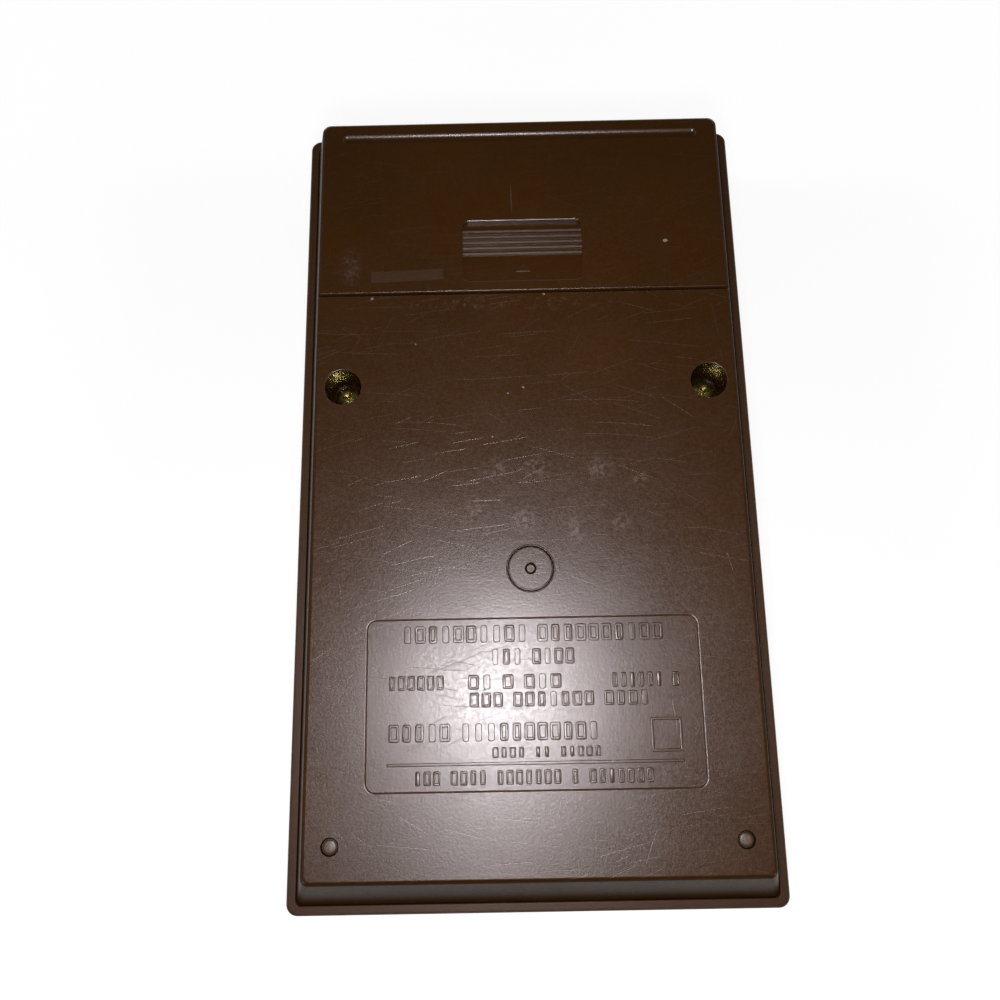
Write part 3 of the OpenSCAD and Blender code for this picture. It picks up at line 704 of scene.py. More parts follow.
def raised_rings(y0, y1, lean_low, lean_high, z0, radii_low, radii_high, share_low, share_high):
    """Rings of the raised back from z0 up to its rounded top edge, a hair inside the plain shape."""
    rise = BACK_Z - RIM_Z
    heights = [(z0, 0.0), (RIM_Z, 0.0)] if z0 < RIM_Z - 0.01 else [(z0, 0.0)]
    heights += [(BACK_Z - SKIN / 2 - ROUND * (1 - s), ROUND * (1 - c)) for c, s in quarter_turn(8)]
    rings = []
    for z, inset in heights:
        t = max(0.0, (z - RIM_Z) / rise)
        half = BACK_HALF_W - SIDE_LEAN * t - inset - SKIN
        low = y0 + lean_low * t + inset * share_low + SKIN
        high = y1 - lean_high * t - inset * share_high - SKIN
        r_low = radii_low[0] + (radii_low[1] - radii_low[0]) * t
        r_high = radii_high[0] + (radii_high[1] - radii_high[0]) * t
        rings.append(at_height(outline(-half, half, low, high, r_low, r_high, steps=8), z))
    return rings


def flare(name, box, r, depth, grow):
    """Tool that rounds the mouth of an opening in the back face."""
    rings = []
    for i, (c, s) in enumerate(quarter_turn(4)):
        out = grow * (1 - c) - CLEAR * (i == 0)
        rings.append(grown_ring(BACK_Z + CLEAR - depth * (1 - s), box, out, r))
    rings.append(grown_ring(BACK_Z + 1, box, grow, r))
    return loft(name, rings)


def round_flare(name, x, y, radius, depth, grow):
    """The same tool for a round opening."""
    profile = [(0, BACK_Z - depth)]
    for c, s in quarter_turn(4):
        profile.append((radius + grow * (1 - c), BACK_Z + CLEAR - depth * (1 - s)))
    profile += [(radius + grow, BACK_Z + 1), (0, BACK_Z + 1)]
    return turned(name, profile, x, y, steps=96)


print("the raised back rises", round(BACK_Z - RIM_Z, 2), "mm above the rim")

# %% [markdown]
# The back cover: the frame's cover is cut to the rounded shape. Then each opening gets a softened
# mouth: two screw wells, two pin rings, the ring left by the moulding gate and the label panel.

# %% Back cover
LABEL = (-22.9, 22.9, -44.2, -21.3)
BAY_TOP = 20.3
SKIRT_Z = 5.0

rings = raised_rings(
    BACK_Y0, COVER_END, BOTTOM_LEAN, 0, SKIRT_Z, (1.0, 1.1), (0.9, 0.15), 1.0, SEAM_SHARE
)
keep = loft("keep", rings)
bay_low = (-case_high.x, COVER_END - 0.5, 0)
bay_room = block("bay_room", bay_low, (case_high.x, case_high.y, BAY_TOP + 0.05))
low_room = block("low_room", (-case_high.x, case_low.y, 0), (case_high.x, COVER_END, RIM_Z - 0.4))
boolean(keep, "UNION", [bay_room, low_room])
back_cover = boolean(cad_copy("back_cover", "back_cover_shell"), "INTERSECT", [keep])
mouths = [round_flare(f"well_{i}", x, y, WELL_R, 0.25, 0.22) for i, (x, y) in enumerate(SCREWS)]
mouths += [round_flare(f"pin_ring_{i}", x, y, PIN_RING_R, 0.12, 0.1) for i, (x, y) in enumerate(PINS)]
mouths.append(flare("label_mouth", LABEL, 1.2, 0.2, 0.4))
groove_mouth = [
    (GATE_R - GATE_GROOVE - 0.09, BACK_Z + 0.01), (GATE_R - GATE_GROOVE + CLEAR, BACK_Z - 0.12),
    (GATE_R - CLEAR, BACK_Z - 0.12), (GATE_R + 0.09, BACK_Z + 0.01),
]
mouths.append(turned("gate_mouth", groove_mouth, 0, GATE_Y, steps=96, ring=True))
boolean(back_cover, "DIFFERENCE", mouths)
soften(back_cover)
hand_over(back_cover, "root", ["back_cover"], cover_plastic)

# %% [markdown]
# The battery door slides off towards the display end. A thumb pushes on five rounded ribs in a
# recess that deepens away from the seam, and a small raised arrow shows the way. The plain recess
# of the frame is cut again with a soft mouth, and the ribs are joined to its sloping floor.

# %% Battery door
THUMB = (-9.2, 9.2, 30.4, 40.6)
THUMB_DEEP = 0.8
THUMB_SHALLOW = 0.15
RIBS = 5
RIB_Y = 35.1
RIB_PITCH = 0.94
GROOVE = (-28.1, 28.1, 54.8, 56.2)
GROOVE_DEEP = 0.4
GROOVE_EDGE = 0.08
ARROW_Y, ARROW_L, ARROW_HALF_W = 31.9, 1.5, 1.15


def thumb_floor(y):
    """Height of the recess's floor at a distance along the case."""
    deepening = (THUMB_DEEP - THUMB_SHALLOW) / (THUMB[3] - THUMB[2])
    return BACK_Z - THUMB_SHALLOW - deepening * (y - THUMB[2])


def thumb_tool():
    """The whole recess: sloping floor with a small radius at its foot, upright walls, soft mouth."""
    x0, x1, y0, y1 = THUMB
    foot = outline(x0 + 0.12, x1 - 0.12, y0 + 0.12, y1 - 0.12, 0.88, steps=8)
    wall = outline(x0, x1, y0, y1, 1.0, steps=8)
    rings = [
        [(x, y, thumb_floor(y) + 0.006) for x, y in foot],
        [(x, y, min(thumb_floor(y) + 0.1, BACK_Z - 0.13)) for x, y in wall],
    ]
    for out, drop in ((0.0, 0.12), (0.03, 0.06), (0.1, 0.02), (0.18, -0.01), (0.18, -1)):
        rings.append(grown_ring(BACK_Z - drop, THUMB, out, 1.0))
    return loft("thumb_tool", rings)


def hollow_groove():
    """Tool for the long groove: round ends and a hollow bottom, which shines along its far side."""
    x0, x1, y0, y1 = GROOVE
    half, middle = (y1 - y0) / 2 + GROOVE_EDGE, (y0 + y1) / 2
    reach = (half * half + GROOVE_DEEP * GROOVE_DEEP) / (2 * GROOVE_DEEP)

    def slice_at(z, wide):
        """Ring of the groove at one height, its half width wide."""
        left, right = x0 - GROOVE_EDGE + half - wide, x1 + GROOVE_EDGE - (half - wide)
        return at_height(outline(left, right, middle - wide, middle + wide, wide - 0.005, steps=8), z)

    rings = []
    for i in range(1, 10):
        drop = GROOVE_DEEP * (1 - (i / 9) ** 1.6)
        wide = math.sqrt(reach * reach - (reach - GROOVE_DEEP + drop) ** 2)
        rings.append(slice_at(BACK_Z - drop + CLEAR, wide))
    return loft("hollow_groove", rings + [slice_at(BACK_Z + 1, half)])


def groove_filler():
    """Fills the plain groove, so that the hollow one can be cut instead."""
    x0, x1, y0, y1 = GROOVE
    flat = outline(x0 - 0.03, x1 + 0.03, y0 - 0.03, y1 + 0.03, 0.7, steps=8)
    return loft("filler", [at_height(flat, BACK_Z - 0.7), at_height(flat, BACK_Z - 0.012)])


def rib(y):
    """Bar across the recess with a slope towards the seam, so that the thumb grips when it pushes."""
    foot = thumb_floor(y) - 0.2
    rings = []
    for low, high, z in (
        (0.26, 0.24, foot), (0.26, 0.24, BACK_Z - 0.25), (0.20, 0.24, BACK_Z - 0.172),
        (-0.04, 0.22, BACK_Z - 0.094), (-0.12, 0.18, BACK_Z - 0.076),
    ):
        rings.append(at_height(outline(-9.3, 9.3, y - low, y + high, 0.03, steps=3), z))
    return loft("rib", rings)


def arrow():
    """Raised triangle that points away from the seam."""
    floor_z = thumb_floor(ARROW_Y)
    rings = []
    for inset, rise in ((0.0, -0.35), (0.0, 0.02), (0.12, 0.12)):
        half, y, z = ARROW_HALF_W - 1.6 * inset, ARROW_Y + inset, floor_z + rise
        rings.append([(-half, y, z), (half, y, z), (0, ARROW_Y + ARROW_L - 1.8 * inset, z)])
    return loft("arrow", rings)


foot_z = door_low.z + 0.005
rings = raised_rings(
    DOOR_START, BACK_Y1, 0, TOP_LEAN, foot_z, (0.9, 0.15), (1.0, 1.3), SEAM_SHARE, 1.0
)
keep = loft("keep", rings)
battery_door = boolean(cad_copy("battery_door", "battery_door_shell"), "INTERSECT", [keep])
boolean(battery_door, "UNION", [groove_filler()])
boolean(battery_door, "DIFFERENCE", [thumb_tool(), hollow_groove()])
boolean(battery_door, "UNION", [rib(RIB_Y + i * RIB_PITCH) for i in range(RIBS)] + [arrow()])
soften(battery_door)
hand_over(battery_door, "battery_door", ["battery_door"], door_plastic)

# %% [markdown]
# The front case is a deep tray. All that shows from behind is its rim, with a rounded outer edge
# and a thin dark gap where the back cover drops in.

# %% Front case
RIM_W = 1.35
OUTER_ROUND = 0.4
FACE_ROUND = 0.7
CASE_CORNER_R = 1.6

edges = [(FACE_ROUND * (1 - s), CLEAR + FACE_ROUND * (1 - c)) for c, s in quarter_turn(6)]
edges += [(OUTER_ROUND * (1 - c), RIM_Z - 0.006 - OUTER_ROUND * (1 - s)) for c, s in quarter_turn(6)]
rings = [
    ring_at(z, case_high.x - (inset + SKIN), case_high.y - (inset + SKIN), CASE_CORNER_R)
    for inset, z in edges
]
front_case = boolean(cad_copy("front_case", "front_case_tray"), "INTERSECT", [loft("keep", rings)])
inner_x, inner_y = case_high.x - RIM_W, case_high.y - RIM_W
rings = []
for out, drop in ((-CLEAR, 0.16), (0.02, 0.09), (0.08, 0.03), (0.16, -0.01), (0.16, -1)):
    rings.append(grown_ring(RIM_Z - drop, (-inner_x, inner_x, -inner_y, inner_y), out, 0.7))
boolean(front_case, "DIFFERENCE", [loft("rim_mouth", rings)])
soften(front_case)
hand_over(front_case, "root", ["front_case"], front_plastic)

# %% [markdown]
# ## Repeated things
#
# A row of raised bars, two screws or seven more inside are one shape repeated. Geometry Nodes does
# this well: points say where, how big and which shape, and the tree puts an instance on each point.
# The tree is built in the script, its inputs have names, and its seed is fixed. In the end the
# instances are made real, so that the piece is an ordinary mesh.


# %% Repeating tool
def repeat_tree():
    """Geometry Nodes group: instances of a collection's shapes on the points of a mesh."""
    tree = bpy.data.node_groups.new("repeat", "GeometryNodeTree")
    for name, way, kind in (
        ("Geometry", "INPUT", "Geometry"), ("Shapes", "INPUT", "Collection"),
        ("Finish", "INPUT", "Material"), ("Unevenness", "INPUT", "Float"),
        ("Seed", "INPUT", "Int"), ("Geometry", "OUTPUT", "Geometry"),
    ):
        tree.interface.new_socket(name, in_out=way, socket_type="NodeSocket" + kind)
    given = tree.nodes.new("NodeGroupInput").outputs
    result = tree.nodes.new("NodeGroupOutput").inputs

    def add(kind, inputs, out=0, **settings):
        return add_node(tree, kind, inputs, out, **settings)

    def named(attribute, kind):
        node = "GeometryNodeInputNamedAttribute"
        return add(node, {"Name": attribute}, "Attribute", data_type=kind)

    inputs = {"Collection": given["Shapes"], "Separate Children": True, "Reset Children": True}
    shapes = add("GeometryNodeCollectionInfo", inputs, "Instances")
    inputs = {"Max": given["Unevenness"], "Seed": given["Seed"]}
    uneven = add("FunctionNodeRandomValue", inputs, "Value")
    lower = add("ShaderNodeMath", {0: 1.0, 1: uneven}, operation="SUBTRACT")
    inputs = {0: named("size_x", "FLOAT"), 1: named("size_y", "FLOAT"), 2: lower}
    size = add("ShaderNodeCombineXYZ", inputs)
    turn = add("ShaderNodeCombineXYZ", {2: named("turn", "FLOAT")})
    inputs = {
        "Points": given["Geometry"], "Instance": shapes, "Pick Instance": True,
        "Instance Index": named("shape", "INT"), "Rotation": turn, "Scale": size,
    }
    put = add("GeometryNodeInstanceOnPoints", inputs, "Instances")
    real = add("GeometryNodeRealizeInstances", {"Geometry": put}, "Geometry")
    inputs = {"Geometry": real, "Material": given["Finish"]}
    join(result["Geometry"], add("GeometryNodeSetMaterial", inputs, "Geometry"))
    return tree


REPEAT = repeat_tree()


def repeat(name, shapes, places, finish, unevenness=0.0, seed=1):
    """Mesh of shapes, drawn round the origin, at places.

    A place is x, y, z, turn in degrees, size along x, size along y and the number of its shape.
    """
    mesh = bpy.data.meshes.new(name)
    mesh.from_pydata([Vector(row[:3]) * MM for row in places], [], [])
    _, _, _, turns, sizes_x, sizes_y, kinds = zip(*places)
    for attribute, kind, column in (
        ("turn", "FLOAT", [math.radians(turn) for turn in turns]),
        ("size_x", "FLOAT", sizes_x), ("size_y", "FLOAT", sizes_y), ("shape", "INT", kinds),
    ):
        mesh.attributes.new(attribute, kind, "POINT").data.foreach_set("value", column)
    piece = linked(name, mesh)
    group = bpy.data.collections.new(name + "_shapes")
    for i, shape in enumerate(shapes):
        shape.name = f"{i:02d}_{name}"
        scene.collection.objects.unlink(shape)
        group.objects.link(shape)
    modifier = piece.modifiers.new("repeat", "NODES")
    modifier.node_group = REPEAT
    values = {"Shapes": group, "Finish": finish, "Unevenness": unevenness, "Seed": seed}
    for item in REPEAT.interface.items_tree:
        if item.in_out == "INPUT" and item.name in values:
            modifier[item.identifier] = values[item.name]
    settle(piece)
    for shape in shapes:
        bpy.data.objects.remove(shape)
    bpy.data.collections.remove(group)
    print(f"{name}: {len(places)} instances")
    return piece


# %% [markdown]
# ## Label panel
#
# A rating label is usually moulded into the back: small raised strokes in a shallow panel. Here
# the rows carry no words, only open boxes and solid blocks in the rhythm of a printed text. Each
# is drawn once with a rounded top, and the tree above sets a hundred of them in rows.

# %% Label relief
LABEL_FLOOR = BACK_Z - 0.25
STROKE = 0.42
RELIEF = 0.22


def bar_shape(name, wide, high):
    """Raised bar with an eased top, its foot a little below the origin."""
    rings = []
    for inset, z in ((0.0, -0.1), (0.0, RELIEF - 0.09), (0.03, RELIEF - 0.03), (0.1, RELIEF)):
        w, h = wide / 2 - inset, high / 2 - inset
        rings.append(ring_at(z, w, h, min(w, h) * 0.6, steps=3))
    return loft(name, rings)


def box_shape(name, wide, high):
    """Open raised box: an outer wall, a rounded top and an inner wall, closed below."""
    rings = []
    for inset, z in (
        (0.0, -0.1), (0.0, RELIEF - 0.09), (0.03, RELIEF - 0.03), (0.12, RELIEF),
        (STROKE - 0.12, RELIEF), (STROKE - 0.03, RELIEF - 0.03),
        (STROKE, RELIEF - 0.09), (STROKE, -0.1),
    ):
        rings.append(ring_at(z, wide / 2 - inset, high / 2 - inset, max(0.32 - inset, 0.06), steps=3))
    n = len(rings[0])
    points = [p for ring in rings for p in ring]
    faces = []
    for k in range(len(rings)):
        m = (k + 1) % len(rings)
        for i in range(n):
            j = (i + 1) % n
            faces.append((k * n + i, k * n + j, m * n + j, m * n + i))
    return new_piece(name, points, faces)


# Rows of the label: first x, last x, lower y, upper y, and how many strokes each group has.
ROWS = (
    (-18.3, 18.3, -24.5, -22.1, (10, 10)),
    (-6.0, 5.9, -27.6, -25.4, (3, 4)),
    (-20.2, -12.2, -30.9, -28.9, (6,)),
    (-9.2, 4.0, -30.9, -28.9, (2, 1, 3)),
    (10.6, 20.2, -30.9, -28.9, (6, 1)),
    (-9.0, 16.0, -33.3, -31.3, (3, 7, 4)),
    (-20.1, 8.9, -37.8, -35.4, (5, 11)),
    (-6.0, 9.1, -40.0, -38.6, (4, 2, 5)),
    (-16.6, 16.0, -43.5, -41.6, (3, 4, 7, 1, 7)),
)
RULE = (-20.1, 20.1, -40.75)
MARK = (17.9, -37.3)
GROUP_GAP = 1.1
SPACE = 0.3
BOX_W = 1.5
BOX_H = 2.2
LABEL_SEED = 7
# Numbers of the shapes below: open box, block, narrow box, rule and square mark.
BOX, BLOCK, NARROW_BOX, RULE_SHAPE, MARK_SHAPE = range(5)
MIX = (BLOCK, BOX, BOX, BOX, BOX, BLOCK, NARROW_BOX, NARROW_BOX)

draw = random.Random(LABEL_SEED)
places = []
for x0, x1, y0, y1, groups in ROWS:
    strokes = sum(groups)
    gaps = (len(groups) - 1) * GROUP_GAP
    step = (x1 - x0 - gaps) / strokes
    x = x0
    for count in groups:
        for _ in range(count):
            wide, high = (step - SPACE) / BOX_W, (y1 - y0) / BOX_H
            places.append((x + step / 2, (y0 + y1) / 2, LABEL_FLOOR, 0, wide, high, draw.choice(MIX)))
            x += step
        x += GROUP_GAP
places.append(((RULE[0] + RULE[1]) / 2, RULE[2], LABEL_FLOOR, 0, 1, 1, RULE_SHAPE))
places.append((*MARK, LABEL_FLOOR, 0, 1, 1, MARK_SHAPE))
shapes = [
    box_shape("box", BOX_W, BOX_H), bar_shape("block", 0.62 * BOX_W, BOX_H),
    box_shape("narrow_box", 0.8 * BOX_W, BOX_H), bar_shape("rule", RULE[1] - RULE[0], 0.42),
    box_shape("mark", 4.3, 4.6),
]
label_relief = repeat("label_relief", shapes, places, label_plastic, 0.12, LABEL_SEED)
soften(label_relief, 50)
hand_over(label_relief, "root", [], label_plastic)

# %% [markdown]
# ## Screws and pins
#
# The screws are pan heads with a cross recess, yellow from the zinc plating. They sit deep in their
# wells, so the head needs a real cross and a rounded crown to catch any light at all.

# %% Screws
SEAT_Z = 15.2
# Shares of the shank's diameter and of the head's height.
THREAD_ROOT, THREAD_PITCH, HEAD_WALL = 0.39, 0.4, 0.42


def metal(name, color, roughness, uneven=0.08, bump=0.0):
    """Metal with a slightly uneven polish."""
    finish = Finish(name, color, roughness, 1.0)
    where = finish.place()
    patchy = finish.noise(where, 0.9, 4.0, 0.6)
    finish.set("Roughness", finish.ramp(patchy, 0.3, 0.7, roughness - uneven, roughness + uneven))
    tarnish = finish.ramp(finish.noise(where, 0.5, 5.0, 0.7), 0.45, 0.75)
    finish.set("Base Color", finish.blend(tarnish, color, tuple(0.55 * c for c in color)))
    if bump:
        finish.relief(finish.noise(where, 5.0), bump, 0.02)
    return finish.material


def plain(name, color, roughness, grain=3.0, bump=0.15, change=0.15):
    """Plastic, rubber or lacquer with a faint grain and an uneven tone."""
    finish = Finish(name, color, roughness)
    where = finish.place()
    tone = finish.noise(where, 0.2, 4.0, 0.6)
    darker, paler = (tuple(share * c for c in color) for share in (1 - change, 1 + change))
    finish.set("Base Color", finish.blend(tone, darker, paler))
    rub = finish.noise(where, 0.4, 4.0)
    finish.set("Roughness", finish.ramp(rub, 0.3, 0.7, roughness - 0.06, roughness + 0.06))
    finish.relief(finish.noise(where, grain, 2.0), bump, 0.02)
    return finish.material


def cross_screw(name, head_d, head_h, shank_d, shank_l, cross_l):
    """Pan-head screw round the origin: seat at 0, crown upwards, rolled thread below."""
    r, root = head_d / 2, shank_d * THREAD_ROOT
    profile = [(0, -shank_l), (shank_d * 0.2, -shank_l)]
    pitch = shank_d * THREAD_PITCH
    for i in range(int((shank_l - shank_d * 0.5) / pitch)):
        z = -shank_l + shank_d * 0.4 + i * pitch
        profile += [(root, z), (shank_d * 0.5, z + pitch * 0.5)]
    profile += [(root, -pitch * 0.3), (shank_d * 0.45, 0), (r * 0.96, 0)]
    profile += [(r, head_h * 0.1), (r, head_h * HEAD_WALL)]
    for c, s in quarter_turn(8)[1:-1]:
        profile.append((r * c ** 0.75, head_h * (HEAD_WALL + (1 - HEAD_WALL) * s)))
    profile.append((0, head_h))
    screw = turned(name, profile, steps=40)
    arms = []
    for angle in (0, 90):
        half_l, half_w = cross_l / 2, cross_l * 0.11
        rings = []
        c, s = math.cos(math.radians(angle)), math.sin(math.radians(angle))
        for share, z in ((0.35, head_h * 0.35), (0.85, head_h * 0.75), (1.0, head_h + 0.3)):
            w, h = half_l * share, half_w * (0.7 + 0.3 * share)
            flat = outline(-w, w, -h, h, h * 0.4, steps=2)
            rings.append([(x * c - y * s, x * s + y * c, z) for x, y in flat])
        arms.append(loft("arm", rings))
    return boolean(screw, "DIFFERENCE", arms)


yellow_plate = metal("yellow_plate", (0.55, 0.48, 0.15), 0.27)
bright_steel = metal("bright_steel", (0.66, 0.65, 0.62), 0.28)
places = [(x, y, SEAT_Z, 20 if x > 0 else -20, 1, 1, 0) for x, y in SCREWS]
screw = cross_screw("screw", 4.4, 1.5, 2.0, 8.0, 2.4)
case_screws = repeat("screws_case", [screw], places, yellow_plate)
soften(case_screws, 40)
hand_over(case_screws, "root", ["case_screws"], yellow_plate)

BOARD_BACK = 10.6
POSTS = [(-16, -43.7), (16, -43.7), (0, -22.5), (-16, -1.3), (16, -1.3), (-28.7, 20.4), (28.7, 20.4)]
places = [(x, y, BOARD_BACK, 25 * i, 1, 1, 0) for i, (x, y) in enumerate(POSTS)]
screw = cross_screw("screw", 2.8, 0.9, 1.4, 5.2, 1.6)
board_screws = repeat("screws_board", [screw], places, bright_steel)
soften(board_screws, 40)
hand_over(board_screws, "root", ["pcb_screws"], bright_steel)

# %% [markdown]
# The two small studs near the bottom are moulded pins pressed into the cover. Their crowns are
# rubbed paler than the case, since the calculator has stood on them for years.

# %% Pins
pin_finish = Finish("pin_plastic", (0.05, 0.033, 0.022), 0.42)
pin_where = pin_finish.place()
crown = pin_finish.most([pin_finish.spot(pin_where, x, y, 0.9, 0.9, 0.7) for x, y in PINS])
rubbed = pin_finish.times(crown, pin_finish.speckle(pin_where, 0.5, 0.3, 0.7))
pin_finish.set("Base Color", pin_finish.blend(rubbed, (0.030, 0.016, 0.008), (0.12, 0.085, 0.06)))
pin_finish.relief(pin_finish.noise(pin_where, 2.5, 3.0), 0.4, 0.04)
PIN_R = 0.95
PIN_HEAD = 0.3
PIN_SHANK_R = 0.75
PIN_SHANK_L = 1.9
tip = -PIN_HEAD - PIN_SHANK_L
profile = [(0, tip), (PIN_SHANK_R - 0.15, tip), (PIN_SHANK_R, tip + 0.2)]
profile += [(PIN_SHANK_R, -PIN_HEAD - 0.02), (PIN_R - 0.02, -PIN_HEAD)]
profile += [(PIN_R - 0.3 + 0.3 * c, -0.2 + 0.17 * s) for c, s in quarter_turn(6)]
profile += [(0.5, -0.008), (0, -0.004)]
places = [(x, y, BACK_Z, 0, 1, 1, 0) for x, y in PINS]
foot_pins = repeat("pins", [turned("pin", profile, steps=48)], places, pin_finish.material)
soften(foot_pins, 40)
hand_over(foot_pins, "root", ["foot_pins"], pin_finish.material)

# %% [markdown]
# ## Under the battery door
#
# Two round cells lie crosswise, one each way round. A cell is a drawn steel can with a printed
# jacket: the ends are rolled over the jacket and leave a small bead, and one end has a raised nub.
# It is turned upright and then laid along X.

# %% Cells
CELL_R = 7.1
CELL_L = 50.4
CELL_Z = 13
NUB_L = 1.2
NUB_R = 2.65
CONTACT_X = 28.2
CELL_FLAT_X = CONTACT_X - 0.8 - CELL_L
CELL_Y = {"battery_lower": 36.75, "battery_upper": 51.0}
CREAM = (0.62, 0.52, 0.34)


def cell(name, y, way):
    """One cell; way is 1 if its nub points to +X and -1 if it points to -X."""
    body_l = CELL_L - NUB_L
    can, bead = CELL_R - 0.01, CELL_R - 0.05
    profile = [(0, 0.05), (CELL_R - 1.6, 0.05), (CELL_R - 1.25, 0.15)]
    profile += [(CELL_R - 1.2, 0.34), (CELL_R - 0.75, 0.3)]
    for i in range(6):
        turn = math.radians(-90 + 90 * i / 5)
        foot = 0.62 + 0.61 * math.sin(turn) - 0.3 * (i == 0)
        profile.append((CELL_R - 0.62 + 0.61 * math.cos(turn), foot))
    profile += [(can, 1.6), (bead, 1.75), (can, 1.9)]
    profile += [(can, body_l - 2.1), (bead, body_l - 1.95), (can, body_l - 1.8)]
    profile += [(CELL_R - 0.55 + 0.54 * c, body_l - 0.76 + 0.54 * s) for c, s in quarter_turn(5)]
    profile += [(CELL_R - 1.2, body_l - 0.3), (CELL_R - 1.5, body_l - 0.42)]
    profile += [(NUB_R + 0.7, body_l - 0.42), (NUB_R + 0.1, body_l - 0.25)]
    profile += [(NUB_R - 0.01, body_l), (NUB_R - 0.03, CELL_L - 0.35)]
    profile += [(NUB_R - 0.12, CELL_L - 0.1), (NUB_R - 0.4, CELL_L - 0.005), (0, CELL_L - 0.005)]
    piece = turned(name, profile, steps=72)
    for v in piece.data.vertices:
        x, z = v.co.x / MM, v.co.z / MM
        v.co = Vector((way * (CELL_FLAT_X + z), y + x, CELL_Z + v.co.y / MM)) * MM
    rework(piece.data, face_outwards)
    return soften(piece, 38)


def cell_jacket(name, y, way):
    """Printed jacket: dark red with a cream band near the nub, and bare steel at the ends."""
    finish = Finish(name, (0.14, 0.012, 0.008), 0.3)
    where = finish.place()
    from_flat = finish.less(finish.times(finish.axis(where, 0), way), CELL_FLAT_X)
    dy = finish.less(finish.axis(where, 1), y)
    dz = finish.less(finish.axis(where, 2), CELL_Z)
    radius = finish.math("SQRT", finish.math("ADD", finish.times(dy, dy), finish.times(dz, dz)))

    def band(low, high):
        """1 between two distances from the flat end."""
        return finish.times(
            finish.ramp(from_flat, low, low + 0.08), finish.ramp(from_flat, high, high - 0.08)
        )

    body_l = CELL_L - NUB_L
    nub_end = finish.ramp(from_flat, body_l - 1.2, body_l - 1.1)
    rolled = finish.ramp(radius, CELL_R - 0.35, CELL_R - 0.45)
    bare = finish.most([rolled, finish.most([finish.ramp(from_flat, 1.0, 0.9), nub_end])])
    tone = finish.blend(band(36.0, 45.0), (0.17, 0.014, 0.010), CREAM)
    tone = finish.blend(band(34.6, 35.4), tone, CREAM)
    scuff = finish.ramp(finish.noise(where, 0.6, 6.0, 0.7), 0.58, 0.72, 0.0, 0.35)
    tone = finish.blend(scuff, tone, (0.30, 0.24, 0.2))
    finish.set("Base Color", finish.blend(bare, tone, (0.62, 0.61, 0.58)))
    finish.set("Metallic", bare)
    finish.set("Roughness", finish.ramp(finish.noise(where, 0.5, 4.0), 0.3, 0.7, 0.24, 0.4))
    return finish.material


for node, y in CELL_Y.items():
    way = 1 if node == "battery_upper" else -1
    jacket = cell_jacket("jacket_" + node, y, way)
    hand_over(cell(node + "_cell", y, way), "root", [node], jacket)

# %% [markdown]
# The contacts are bent from nickel-plated strip, and two of them carry a conical spring. A spring
# is a tube drawn along a helix whose radius grows, from the cell's end to the plate. The same
# tube tool draws the two battery wires.


# %% Springs, wires and contacts
def tube(name, route, radius, sides=12):
    """Round tube along a route of points, closed by round ends."""
    route = [Vector(p) for p in route]
    rings, side = [], None
    for i, p in enumerate(route):
        way = (route[min(i + 1, len(route) - 1)] - route[max(i - 1, 0)]).normalized()
        if side is None:
            side = way.orthogonal().normalized()
        side = (side - side.dot(way) * way).normalized()
        up = way.cross(side)
        sizes = [0.3, 0.75, 1.0] if i == 0 else [1.0, 0.75, 0.3] if i == len(route) - 1 else [1.0]
        for size in sizes:
            back = radius * math.sqrt(1 - size * size) * 0.8
            centre = p + way * back * (1 if i else -1) if size < 1 else p
            rings.append([
                tuple(centre + radius * size * (math.cos(a) * side + math.sin(a) * up))
                for a in (2 * math.pi * s / sides for s in range(sides))
            ])
    return loft(name, rings)


def smooth_route(points, steps=6):
    """Catmull-Rom line through the points."""
    points = [Vector(p) for p in points]
    line = []
    padded = [points[0]] + points + [points[-1]]
    for a, b, c, d in zip(padded, padded[1:], padded[2:], padded[3:]):
        curve, twist = 2 * a - 5 * b + 4 * c - d, 3 * b - a - 3 * c + d
        for k in range(steps):
            t = k / steps
            line.append(0.5 * (2 * b + (c - a) * t + curve * t * t + twist * t ** 3))
    return line + [points[-1]]


SPRING_WIRE_R = 0.4
SPRING_TURNS = 3.5
SPRING_R, SPRING_SPREAD, STEPS_A_TURN = 2.6, 2, 40


def spring(name, y, way):
    """Conical compression spring from a cell's flat end out to the contact plate."""
    x0, x1 = -CELL_FLAT_X + SPRING_WIRE_R, CONTACT_X - SPRING_WIRE_R
    n = int(SPRING_TURNS * STEPS_A_TURN)
    route = []
    for i in range(n + 1):
        t = i / n
        r, turn = SPRING_R + SPRING_SPREAD * t, 2 * math.pi * SPRING_TURNS * t
        route.append((way * (x0 + (x1 - x0) * t), y + r * math.cos(turn), CELL_Z + r * math.sin(turn)))
    return soften(tube(name, route, SPRING_WIRE_R - 0.005, 10), 60)


spring_steel = metal("spring_steel", (0.75, 0.74, 0.71), 0.2)
nickel = metal("contact_nickel", (0.66, 0.62, 0.55), 0.32, bump=0.1)
bronze = metal("contact_bronze", (0.62, 0.38, 0.17), 0.3)
for kind, node, way in (("bridge", "battery_upper", -1), ("negative", "battery_lower", 1)):
    coil = spring("spring_" + kind, CELL_Y[node], way)
    hand_over(coil, "root", [kind + "_spring"], spring_steel)

